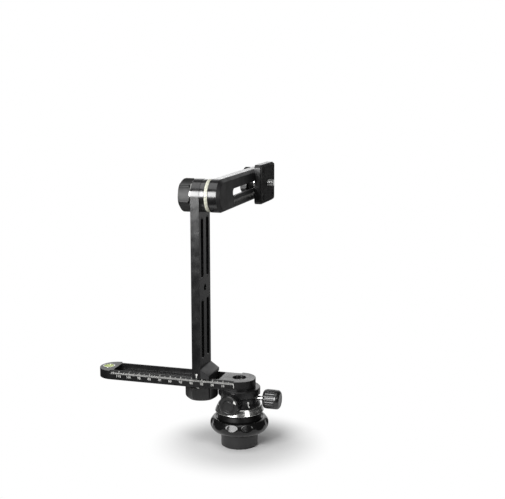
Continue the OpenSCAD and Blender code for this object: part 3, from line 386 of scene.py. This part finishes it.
def lettered(text, size):
    """The points and faces of plain digits, centred on zero, size high, with a 0.03 thickness."""
    line = bpy.data.curves.new("digits", "FONT")
    line.body, line.size, line.align_x, line.align_y = text, size * 1.38, "CENTER", "CENTER"
    line.extrude, line.resolution_u = 0.015, 3
    holder = bpy.data.objects.new("digits", line)
    bpy.context.scene.collection.objects.link(holder)
    solid = bpy.data.meshes.new_from_object(holder.evaluated_get(bpy.context.evaluated_depsgraph_get()))
    points = np.empty(len(solid.vertices) * 3)
    solid.vertices.foreach_get("co", points)
    faces = [list(face.vertices) for face in solid.polygons]
    bpy.data.objects.remove(holder)
    points = points.reshape(-1, 3)
    points[:, :2] -= (points[:, :2].max(0) + points[:, :2].min(0)) / 2
    return points, faces


def joined(name, parts):
    """One mesh from several lists of points and faces."""
    points = np.vstack([p for p, _ in parts])
    starts = np.cumsum([0] + [len(p) for p, _ in parts[:-1]])
    faces = [[int(i + start) for i in face] for (_, part), start in zip(parts, starts) for face in part]
    mesh = bpy.data.meshes.new(name)
    mesh.from_pydata((points * MM).tolist(), [], faces)
    mesh.update()
    return bpy.data.objects.new(name, mesh)


def ring_way(angle, slope):
    """Three directions at an angle round Z on a side that leans in by the slope: round, up the side and
    outwards."""
    c, s, z = np.cos(angle), np.sin(angle), 0 * angle
    long = math.hypot(1, slope)
    return np.stack([np.stack([-s, c, z], -1), np.stack([-slope * c, -slope * s, z + 1], -1) / long,
                     np.stack([c, s, z + slope], -1) / long], -2)


ring_side = eased_line([[15.4, 0], [21.5, 0], [21.8, 0.3], [19.6, 5.3], [19.2, 5.7], [15.4, 5.7]], 0.15)
fit_out(turned("degree_ring_turned", np.vstack([ring_side, ring_side[:1]]), (0, 0, z_ring), columns=256),
        ring_silver, "degree_ring")
ring_slope, ring_edge_r, ring_edge_z, mark_top = 2.2 / 5.0, 21.8, 0.3, 5.15
turns = np.radians(np.arange(0, 360, 2.5))
count = np.arange(len(turns))
mark_half = np.where(count % 6 == 0, 1.5, np.where(count % 2 == 0, 1.2, 0.8))
mark_z = mark_top - mark_half
mark_r = ring_edge_r - ring_slope * (mark_z - ring_edge_z)
mark_at = np.stack([mark_r * np.cos(turns), mark_r * np.sin(turns), z_ring + mark_z], 1)
fit_out(bars("degree_ring_marks", mark_at, np.stack([0 * turns + 0.21, mark_half, 0 * turns + 0.02], 1),
             ring_way(turns, ring_slope)), engraved, body="base")
ring_numbers, number_size, number_z, number_r = [], 1.35, 1.45, 21.3
for degrees in range(0, 360, 15):
    p, f = lettered(str(degrees), number_size)
    a = math.radians(degrees) + p[:, 0] / number_r
    z = number_z + p[:, 1]
    r = ring_edge_r - ring_slope * (z - ring_edge_z) + p[:, 2] + 0.005
    ring_numbers.append((np.stack([r * np.cos(a), r * np.sin(a), z_ring + z], 1), f))
fit_out(joined("degree_ring_numbers", ring_numbers), engraved, body="base")

# Rotator housing: milled and turned aluminium with the dial's boss, blasted and anodised black, with
# a white index mark that reads the degree ring.
housing_black = blasted_black("housing_black", 0.006, 0.27, level=0.42)
fit_out(eased("rotor_housing", 0.3 * MM), housing_black, "rotor_housing")
ink, tree, shader, place = blank("white_ink", Specular_IOR_Level=0.35)
rub = speckle(tree, place, 1600, 3, 0.3, 0.62)
tree.links.new(between(tree, rub, (0.50, 0.50, 0.48), (0.86, 0.86, 0.83)), shader.inputs["Base Color"])
roughness_by(tree, shader, rub, 0.7, 0.5)


def printed(name, outline, lay, rows=25, steps=6):
    """A thin closed print: the outline gives (height, half width) down its length, filled in between, and
    lay(u, v, lift) puts it on the surface. Its layers, 0.005 and 0.035 off the surface, close at the rim."""
    outline = np.asarray(outline, float)
    row, point = np.linspace(0, len(outline) - 1, rows), np.arange(len(outline))
    v, w = (np.interp(row, point, outline[:, k]) for k in (0, 1))
    across = np.linspace(-1, 1, steps + 1)
    u = np.concatenate([across, across[::-1]])[None, :] * w[:, None]
    lift = np.concatenate([0 * across + 0.035, 0 * across + 0.005])[None, :] + 0 * u
    grid = lay(u, v[:, None] + 0 * u, lift)
    middle = grid.mean(1, keepdims=True) + 0 * grid
    return skin(name, np.concatenate([middle[:1], grid, middle[-1:]]), 40)


def on_housing(first):
    """Lays a print on the housing's side about one angle, down the waist and out over the skirt's cone."""
    skirt_r, waist_r, spread_r = 18.9, 16.7, 18.7

    def lay(u, v, lift):
        r = np.interp(v - z_housing, [0.5, 3.0, 7.2], [skirt_r, waist_r, waist_r]) + lift
        a = first + u / spread_r
        return np.stack([r * np.cos(a), r * np.sin(a), v], -1)
    return lay


fit_out(printed("housing_index", [[43.6, 1.2], [42.7, 0.9], [41.6, 0.42], [38.8, 0.38]],
                on_housing(math.radians(-45))), ink, body="rotor")

# Click selector: a small knurled dial of black aluminium on a steel shaft, with a bare raised disc
# and a white pointer near its rim.
dial_bearing, z_dial, dial_out, dial_top = math.radians(6), 42.9, 22.0, 3.2
dial_axis = np.array([-math.sin(dial_bearing), -math.cos(dial_bearing), 0])
dial_side = np.cross(UP, dial_axis)
dial_face = np.array([0, 0, z_dial]) + dial_out * dial_axis
dial_black = turned_finish("dial_black", (0.006, 0.006, 0.006), (0.012, 0.012, 0.012), 0.28, dial_face * MM,
                           dial_axis, metallic=0.0, ring=3600, bump_by=0.35, Specular_IOR_Level=0.6)
dial_line = eased_line([[0, 0], [8.7, 0], [9, 0.3], [9, 2.4], [8.2, dial_top], [6.6, dial_top], [6.4, 3.05],
                        [5.4, 3.05], [5.2, 2.5], [0, 2.5]], 0.12)
dial_flutes = hollows(20, 0, 9.25, 0.75, 0.25)
fit_out(turned("selector_dial_turned", dial_line, dial_face, dial_axis, dial_side, 480,
               cut=lambda r, h, a: np.where(h < 2.1, dial_flutes(r, h, a), r)), dial_black, "selector_dial")
disc_line = eased_line([[0, 2.0], [5.15, 2.0], [5.2, 3.3], [4.8, 3.7], [4.2, 3.7], [4.1, 3.6], [3.9, 3.6],
                        [3.8, 3.7], [0, 3.7]], 0.08)
fit_out(turned("dial_disc_turned", disc_line, dial_face, dial_axis, dial_side, 128), dial_black, "dial_disc")
pointer_turn = math.radians(33)


def on_dial(u, v, lift):
    """Lays a print on the dial's face: v runs outwards from its middle along the pointer's direction."""
    out = math.cos(pointer_turn) * dial_side + math.sin(pointer_turn) * UP
    sideways = np.cross(dial_axis, out)
    return dial_face + v[..., None] * out + u[..., None] * sideways + (dial_top + lift)[..., None] * dial_axis


fit_out(printed("dial_pointer", [[6.0, 0.3], [6.7, 1.2], [7.9, 1.7]], on_dial), ink, body="selector")

# Pan lock: a bright plated screw in the housing's side, with a long fluted knob turned from black
# anodised aluminium pressed on its end.
lock_at = np.array([23.0, 0, z_control])
bright = turned_finish("bright_plate", (0.86, 0.86, 0.85), (0.66, 0.66, 0.65), 0.12, (0, 0, z_control * MM),
                       RIGHT)
knob_black = turned_finish("lock_knob_black", (0.010, 0.010, 0.010), (0.018, 0.018, 0.018), 0.20,
                           lock_at * MM, RIGHT, metallic=0.0, ring=3000, bump_by=0.25, Specular_IOR_Level=0.7,
                           Coat_Weight=0.2, Coat_Roughness=0.15)
dress("pan_lock_screw", bright)
lock_line = np.vstack([eased_line([[0, 0], [7.2, 0], [8.2, 1], [8.6, 3], [8.6, 10.6], [8.6, 11.9]], 0.4),
                       arc(5.6, 12, 3, 3, 0, 90, 12), eased_line([[5.6, 15], [5.0, 14.8], [0, 14.8]], 0.2)])
lock_line = lock_line[np.r_[True, np.linalg.norm(np.diff(lock_line, axis=0), axis=1) > 1e-6]]
lock_flutes, flute_end, flute_fade = hollows(24, 0, 9.12, 0.8, 0.15), 10.9, 0.6


def lock_cut(r, h, angle):
    """Twenty-four round flutes from the knob's inner end. They fade over flute_fade and end at flute_end."""
    run_out = np.clip((flute_end - h) / flute_fade, 0, 1)
    return r + (lock_flutes(r, h, angle) - r) * run_out


fit_out(turned("pan_lock_knob_turned", lock_line, lock_at, RIGHT, UP, 576, cut=lock_cut), knob_black,
        "pan_lock_knob")

# Lower arm: a milled aluminium bar with a channel and a slot, blasted and anodised black, held on the
# housing by a bright socket screw. A millimetre scale is printed on both bevels, its numbers on both sides.
arm_black = blasted_black("arm_black", 0.006, 0.27, level=0.45)
fit_out(eased("lower_arm", 0.25 * MM), arm_black, "lower_arm")
dress("arm_bolt", turned_finish("bolt_bright", (0.62, 0.61, 0.60), (0.38, 0.37, 0.36), 0.24, (0, 0, 0), UP))
steps = np.arange(0, 118)
reach = np.where(steps % 10 == 0, 3.4, np.where(steps % 5 == 0, 2.4, 1.6)) / 2
bevel_y, bevel_z, zero_x, number_z = 14.68, 59.28, -1.0, 57.5
for hand, side in ((-1, "front"), (1, "back")):
    lean = np.array([0, -hand, 1]) / math.sqrt(2)
    out = np.array([0, hand, 1]) / math.sqrt(2)
    start = np.array([0, hand * bevel_y, bevel_z])
    at = start + lean * reach[:, None] + np.stack([zero_x - steps, 0 * steps, 0 * steps], 1) + 0.03 * out
    ways = np.repeat(np.stack([RIGHT, lean, out])[None], len(steps), 0)
    halves = np.stack([0 * reach + 0.16, reach, 0 * reach + 0.02], 1)
    fit_out(bars("arm_scale_" + side, at, halves, ways), ink, body="rotor")
    numbers = []
    for ten in range(10, 111, 10):
        p, f = lettered(str(ten), 2.3)
        x = -ten - 0.7 - hand * p[:, 0]
        numbers.append((np.stack([x, hand * (14.705 + p[:, 2]), number_z + p[:, 1]], 1), f))
    zero_line = np.array([[x, hand * y, z] for x in (zero_x - 0.25, zero_x + 0.25) for y in (14.69, 14.73)
                          for z in (56.2, 60.4)])
    numbers.append((zero_line, BOX_FACES))
    fit_out(joined("arm_numbers_" + side, numbers), ink, body="rotor")

# Round level: a clear-anodised cup pressed in the arm's free end with an acrylic vial of yellow-green
# liquid, a printed circle and an air bubble under the dome.
fit_out(eased("bubble_cup", 0.12 * MM), ring_silver, "bubble_cup")
vial_at = np.array([-126.7, 0, 58.5])
liquid, tree, shader, place = blank("green_liquid", IOR=1.45, Coat_Weight=0.15, Coat_Roughness=0.2,
                                    Roughness=0.35)
swirl = speckle(tree, place, 420, 2, 0.3, 0.7)
tree.links.new(between(tree, swirl, (0.50, 0.66, 0.10), (0.68, 0.80, 0.22)), shader.inputs["Base Color"])
vial_line = np.vstack([eased_line([[0, 0], [4.55, 0], [4.6, 3.1]], 0.1), arc(0, 3.1, 4.6, 0.42, 0, 90, 10)])
fit_out(turned("bubble_vial_domed", vial_line, vial_at, columns=96), liquid, "bubble_vial")
air, tree, shader, place = blank("air_bubble", Coat_Weight=0.2, Coat_Roughness=0.15, Roughness=0.3)
tree.links.new(between(tree, speckle(tree, place, 900, 2), (0.66, 0.76, 0.30), (0.78, 0.85, 0.45)),
               shader.inputs["Base Color"])
fit_out(turned("bubble_air", arc(0, 0, 1.6, 0.28, -90, 90, 12), vial_at + [0.7, 0.4, 3.34], columns=48), air,
        body="rotor")
circle_line = eased_line([[2.1, 0], [2.24, 0], [2.24, 0.05], [2.1, 0.05], [2.1, 0]], 0.01, 2)
fit_out(turned("bubble_circle", circle_line, vial_at + [0, 0, 3.455], columns=72), engraved, body="rotor")

# Carriage: a tongue that slides in the channel with a sloped gusset before the upright, milled and
# anodised black; two socket screws and a steel stud hold the upright to it.
fit_out(eased("carriage_block", 0.25 * MM), blasted_black("gusset_black", 0.012, 0.34, 0.08),
        "carriage_block")
upright_black = blasted_black("upright_black", 0.005, 0.21, 0.05, level=1.0)
fit_out(eased("upright", 0.3 * MM), upright_black, "upright")
for node in ("foot_screws", "hub_screws"):
    dress(node, screw_steel)
dress("carriage_stud", inner_steel)
pointer_x, block_front = -35.4, -14.7


def on_block(u, v, lift):
    """Lays a print on the carriage's flat front face."""
    return np.stack([pointer_x + u, block_front - lift, v], -1)


fit_out(printed("carriage_pointer", [[66.2, 1.15], [65.4, 0.9], [64.4, 0.35], [62.5, 0.3]], on_block), ink,
        body="carriage")

# Carriage clamp: a knob under the arm with six finger hollows, turned and anodised black, on a thin
# bright washer.
x_stud = -35.6
dress("clamp_washer", turned_finish("washer_bright", (0.80, 0.80, 0.79), (0.60, 0.60, 0.59), 0.2,
                                    (x_stud * MM, 0, 0), UP))


def clamp_line(height, bore, skin_left):
    """Half section of a clamp knob: a rounded outer end with a ring groove, a straight side, a chamfer at the
    inner end and a blind bore that leaves the skin standing."""
    return np.vstack([eased_line([[0, 0], [6.0, 0], [6.2, 0.25], [6.8, 0.25], [7.0, 0], [11.7, 0]], 0.1),
                      arc(11.8, 3, 3, 3, -88, 0, 12),
                      eased_line([[14.8, 3.1], [14.8, height - 0.5], [14.3, height], [bore, height],
                                  [bore, skin_left], [0, skin_left]], 0.12)])


clamp_at = np.array([x_stud, 0, 40.75])
clamp_black = turned_finish("clamp_knob_black", (0.006, 0.006, 0.006), (0.012, 0.012, 0.012), 0.28,
                            clamp_at * MM, UP, metallic=0.0, ring=2800, bump_by=0.3, Specular_IOR_Level=0.6)
fit_out(turned("carriage_knob_turned", clamp_line(11.6, 2.53, 2), clamp_at, columns=360,
               cut=hollows(6, math.radians(46), 42.25, 30, 0.35)), clamp_black, "carriage_knob")

# Tilt bearing: a turned hub screwed to the upright, an ivory ring with tilt marks, a bronze bush and
# a friction disc between hub and rail.
tilt_at = np.array([0, 0, z_tilt])
hub_black = turned_finish("hub_black", (0.006, 0.006, 0.006), (0.012, 0.012, 0.011), 0.20, tilt_at * MM,
                          RIGHT, metallic=0.0, ring=2400, bump_by=0.12, Specular_IOR_Level=1.0,
                          Coat_Weight=0.5, Coat_Roughness=0.2)
hub_line = eased_line([[6, 0], [14.5, 0], [14.5, 4.4], [6, 4.4], [6, 0]], 0.2)
fit_out(turned("tilt_hub_turned", hub_line, (-31.6, 0, z_tilt), RIGHT, UP), hub_black, "tilt_hub")
ivory = turned_finish("ring_ivory", (0.80, 0.80, 0.66), (0.62, 0.62, 0.50), 0.28, tilt_at * MM, RIGHT,
                      metallic=0.0, ring=2000, bump_by=0.15, Specular_IOR_Level=0.6)
ivory_line = eased_line([[8.9, 0], [14.5, 0], [14.5, 2.9], [8.9, 2.9], [8.9, 0]], 0.15)
fit_out(turned("tilt_ring_turned", ivory_line, (-27.2, 0, z_tilt), RIGHT, UP), ivory, "tilt_degree_ring")
turns = np.radians(np.arange(0, 360, 5))
tick = np.where(np.arange(len(turns)) % 3 == 0, 1.15, 0.7)
tick_from, tick_r = -24.4, 14.51
c, s, zero = np.cos(turns), np.sin(turns), 0 * turns
tick_ways = np.stack([np.stack([zero, -s, c], -1), np.stack([zero + 1, zero, zero], -1),
                      np.stack([zero, c, s], -1)], -2)
fit_out(bars("tilt_ring_marks", np.stack([tick_from - tick, tick_r * c, z_tilt + tick_r * s], 1),
             np.stack([zero + 0.13, tick, zero + 0.02], 1), tick_ways), engraved, body="carriage")
board, tree, shader, place = blank("friction_board", Specular_IOR_Level=0.25)
drawn_out = wire(tree, "Mapping", {"Vector": place, "Scale": (1, 1, 7)}).outputs[0]
fibre = speckle(tree, drawn_out, 700, 5, 0.3, 0.7)
tree.links.new(between(tree, fibre, (0.10, 0.055, 0.028), (0.26, 0.15, 0.08)), shader.inputs["Base Color"])
roughness_by(tree, shader, fibre, 0.9, 0.7)
bump_by_height(tree, shader, fibre, 0.4, 0.08 * MM)
dress("friction_disc", board)

# Tilt clamp: a steel washer and a knob like the carriage's, on the stud that comes through the hub.
dress("tilt_washer", turned_finish("tilt_washer_bright", (0.30, 0.30, 0.29), (0.16, 0.16, 0.16), 0.16,
                                   tilt_at * MM, RIGHT))
tilt_knob_at = np.array([-51.8, 0, z_tilt])
# edge=0.25 paints a highlight on this knob: its pale ridge edges stand in for the bright stripes the lamps
# put there.
tilt_black = turned_finish("tilt_knob_black", (0.012, 0.012, 0.012), (0.022, 0.022, 0.022), 0.34,
                           tilt_at * MM, RIGHT, metallic=0.0, ring=2800, bump_by=0.3, edge=0.25,
                           Specular_IOR_Level=0.35)
fit_out(turned("tilt_knob_turned", clamp_line(10.4, 4.03, 1.2), tilt_knob_at, RIGHT, -UP, 360,
               cut=hollows(6, math.radians(20), 42.25, 30, 0.35)), tilt_black, "tilt_knob")
dress("tilt_stud", inner_steel)

# Camera rail: a milled bar with one long slot and bevelled edges, blasted and anodised black, duller on
# the face towards the camera, with a millimetre scale of plain ticks below its slot there.
rail_black = blasted_black("rail_black", 0.005, 0.215, level=0.9)
tree = rail_black.node_tree
shader = tree.nodes["Principled BSDF"]
place = wire(tree, "TexCoord").outputs["Object"]
flat_face = wire(tree, "MapRange", {"Value": wire(tree, "SeparateXYZ", {"Vector": place}).outputs["X"],
                                    "From Min": -16.4 * MM, "From Max": -16.0 * MM, "To Max": 0.3}).outputs[0]
tree.links.new(wire(tree, "Math", {0: shader.inputs["Roughness"].links[0].from_socket, 1: flat_face},
                    operation="ADD").outputs[0], shader.inputs["Roughness"])
fit_out(eased("camera_rail", 0.25 * MM), rail_black, "camera_rail")
steps = np.arange(0, 106)
reach = np.where(steps % 10 == 0, 3.8, np.where(steps % 5 == 0, 3.0, 2.2)) / 2
rail_face, scale_from, slot_edge = -13.39, 30.0, 6.6
at = np.stack([0 * steps + rail_face, scale_from + steps, z_tilt - slot_edge - reach], 1)
ways = np.repeat(np.stack([BACK, UP, RIGHT])[None], len(steps), 0)
fit_out(bars("rail_scale", at, np.stack([0 * reach + 0.09, reach, 0 * reach + 0.02], 1), ways), ink,
        body="tilt")

# Camera plate: a milled plate with two keys in the rail's slot, faced with a ribbed rubber pad that
# four small screws hold.
fit_out(eased("camera_plate", 0.3 * MM), blasted_black("plate_black", 0.007, 0.30), "camera_plate")
rubber, tree, shader, place = blank("ribbed_rubber", Specular_IOR_Level=0.35)
split = wire(tree, "SeparateXYZ", {"Vector": place})
rib_pitch = 1.6 * MM
rib = wire(tree, "Math", {0: wire(tree, "Math", {0: split.outputs["Y"], 1: TURN / rib_pitch},
                                  operation="MULTIPLY").outputs[0]}, operation="SINE").outputs[0]
dust = speckle(tree, place, 1400, 4, 0.35, 0.7)
tree.links.new(between(tree, dust, (0.012, 0.012, 0.012), (0.032, 0.031, 0.030)), shader.inputs["Base Color"])
roughness_by(tree, shader, dust, 0.62, 0.85)
bump_by_height(tree, shader, rib, 0.9, 0.25 * MM)
fit_out(eased("plate_pad", 0.2 * MM), rubber, "plate_pad")
dress("plate_screws", screw_steel)

# Camera screw: a quarter-inch stud with a plain neck, fixed in a flat knob behind the rail, with a
# steel washer between knob and rail.
y_screw = 117.0
screw_at = np.array([0, y_screw, z_tilt])
dress("plate_washer", turned_finish("plate_washer_bright", (0.80, 0.80, 0.79), (0.60, 0.60, 0.59), 0.2,
                                    screw_at * MM, RIGHT))
plate_knob_black = turned_finish("plate_knob_black", (0.007, 0.007, 0.007), (0.013, 0.013, 0.013), 0.28,
                                 screw_at * MM, RIGHT, metallic=0.0, ring=2800, bump_by=0.3,
                                 Specular_IOR_Level=0.6)
plate_line = eased_line([[0, 0], [6, 0], [6.2, 0.25], [6.8, 0.25], [7.0, 0], [14, 0], [15, 1], [15, 5.7],
                         [14.5, 6.2], [7.5, 6.2], [7.5, 11.9], [2.7, 11.9], [2.7, 1.2], [0, 1.2]], 0.15)
plate_hollow, collar_clear_r = hollows(6, math.radians(20), 42.45, 30, 0.35), 9
fit_out(turned("plate_knob_turned", plate_line, (-30.6, y_screw, z_tilt), RIGHT, -UP, 360,
               cut=lambda r, h, a: np.where(r > collar_clear_r, plate_hollow(r, h, a), r)),
        plate_knob_black, "plate_knob")
stud_r, neck_r, stud_from, stud_to, stud_end = 3.175, 2.7, 23.5, 28.5, 29.0
stud_levels = np.linspace(stud_from, stud_to, 90)
stud_line = np.vstack([[[0, 0], [neck_r, 0], [neck_r, stud_from]],
                       np.stack([0 * stud_levels + stud_r, stud_levels], 1),
                       [[2.75, stud_end], [0, stud_end]]])
fit_out(turned("camera_screw_threaded", stud_line, (-29.4, y_screw, z_tilt), RIGHT, UP, 64,
               cut=thread(stud_r, 0.6, 1.27, stud_from, stud_to)), bright, "camera_screw")

# Studio: a pale floor under the head, clear from below and fading to white for the camera, and a white
# backdrop behind it, lit softly from the front and from above; behind the camera it is dim, as in a room.
floor_r, floor_z = 170, -0.05
floor_turn = np.linspace(0, TURN, 96, endpoint=False)
floor_mesh = skin("studio_floor", np.stack([np.stack([r * np.cos(floor_turn), r * np.sin(floor_turn),
                                                      0 * floor_turn + floor_z], 1)
                                            for r in np.linspace(0, floor_r, 8)]))
if floor_mesh.data.polygons[0].normal.z < 0:
    floor_mesh.data.flip_normals()
floor_white, tree, shader, place = blank("floor_white", Roughness=0.9, Specular_IOR_Level=0.2)
shader.inputs["Base Color"].default_value = (0.86, 0.86, 0.86, 1)
far = wire(tree, "VectorMath", {0: place}, operation="LENGTH").outputs["Value"]
fade = wire(tree, "MapRange", {"Value": far, "From Min": 0.034, "From Max": 0.085},
            interpolation_type="SMOOTHSTEP").outputs[0]
sight = wire(tree, "LightPath")
seen = wire(tree, "Math", {0: fade, 1: sight.outputs["Is Camera Ray"]}, operation="MULTIPLY").outputs[0]
glow = wire(tree, "Emission", {"Color": (1, 1, 1, 1), "Strength": 1.0}).outputs[0]
mixed = wire(tree, "MixShader", {0: seen, 1: shader.outputs[0], 2: glow}).outputs[0]
clear = wire(tree, "BsdfTransparent").outputs[0]
under = wire(tree, "NewGeometry").outputs["Backfacing"]
one_way = wire(tree, "MixShader", {0: under, 1: mixed, 2: clear}).outputs[0]
tree.links.new(one_way, tree.nodes["Material Output"].inputs["Surface"])
floor_mesh.data.materials.append(floor_white)
bpy.context.scene.collection.objects.link(floor_mesh)

world = bpy.data.worlds.new("studio")
bpy.context.scene.world = world
world.use_nodes = True
tree = world.node_tree
aim = wire(tree, "SeparateXYZ", {"Vector": wire(tree, "TexCoord").outputs["Generated"]})
level_aim = wire(tree, "CombineXYZ", {"X": aim.outputs["X"], "Y": aim.outputs["Y"]}).outputs[0]
flat = wire(tree, "VectorMath", {0: level_aim}, operation="NORMALIZE").outputs[0]
facing = wire(tree, "VectorMath", {0: flat, 1: (-0.24, 0.97, 0)}, operation="DOT_PRODUCT").outputs["Value"]
behind = wire(tree, "MapRange", {"Value": facing, "From Min": 0.74, "From Max": 0.98},
              interpolation_type="SMOOTHSTEP").outputs[0]
below = wire(tree, "MapRange", {"Value": aim.outputs["Z"], "From Min": -0.36, "From Max": 0.03, "To Min": 0.2,
                                "To Max": 1.0}, interpolation_type="SMOOTHSTEP").outputs[0]
high = wire(tree, "MapRange", {"Value": aim.outputs["Z"], "From Min": 0.45, "From Max": 0.75, "To Min": 1.0,
                               "To Max": 0.15}, interpolation_type="SMOOTHSTEP").outputs[0]
low_part = wire(tree, "Math", {0: behind, 1: below}, operation="MULTIPLY").outputs[0]
drop = wire(tree, "Math", {0: low_part, 1: high}, operation="MULTIPLY").outputs[0]
room = wire(tree, "Math", {0: drop, 1: 0.7, 2: 0.05}, operation="MULTIPLY_ADD").outputs[0]
sight = wire(tree, "LightPath")
mirrored = wire(tree, "Math", {0: sight.outputs["Is Glossy Ray"], 1: sight.outputs["Is Transmission Ray"]},
                operation="MAXIMUM").outputs[0]
backdrop = wire(tree, "Math", {0: drop, 1: mirrored}, operation="MULTIPLY").outputs[0]
white = wire(tree, "Math", {0: backdrop, 1: sight.outputs["Is Camera Ray"]}, operation="MAXIMUM").outputs[0]
shown = wire(tree, "Math", {0: room, 1: white}, operation="MAXIMUM").outputs[0]
tree.links.new(shown, tree.nodes["Background"].inputs["Strength"])
tree.nodes["Background"].inputs["Color"].default_value = (1, 1, 1, 1)


def softbox(name, place, aim_at, width, height, power):
    """A rectangular lamp that the camera doesn't see, turned towards a point."""
    lamp = bpy.data.lights.new(name, "AREA")
    lamp.shape, lamp.size, lamp.size_y, lamp.energy = "RECTANGLE", width, height, power
    holder = bpy.data.objects.new(name, lamp)
    holder.location = place
    holder.rotation_euler = (Vector(aim_at) - Vector(place)).to_track_quat("-Z", "Y").to_euler()
    holder.visible_camera = False
    bpy.context.scene.collection.objects.link(holder)


softbox("front_softbox", (-0.30, -0.89, 0.46), (0, 0, 0.2), 0.5, 0.55, 10.0)
softbox("top_softbox", (-0.1, -0.25, 1.0), (0, 0, 0.1), 1.0, 0.7, 3.2)
softbox("right_softbox", (0.68, -0.47, 0.40), (0, 0, 0.1), 0.22, 0.3, 1.4)
softbox("rear_strip", (-0.28, 0.92, 0.42), (0, 0, 0.2), 0.34, 0.09, 0.2)

camera = bpy.data.cameras.new("camera")
camera.lens, camera.sensor_width, camera.clip_start = 68.39, 36, 0.01
seat = bpy.data.objects.new("camera", camera)
seat.location = (0.2432, -0.7877, 0.3244)
az, el = math.radians(16.34), math.radians(10.07)
look = Vector((-math.sin(az) * math.cos(el), math.cos(az) * math.cos(el), -math.sin(el)))
seat.rotation_euler = look.to_track_quat("-Z", "Y").to_euler()
bpy.context.scene.collection.objects.link(seat)
bpy.context.scene.camera = seat
bpy.context.scene.view_settings.view_transform = "Standard"
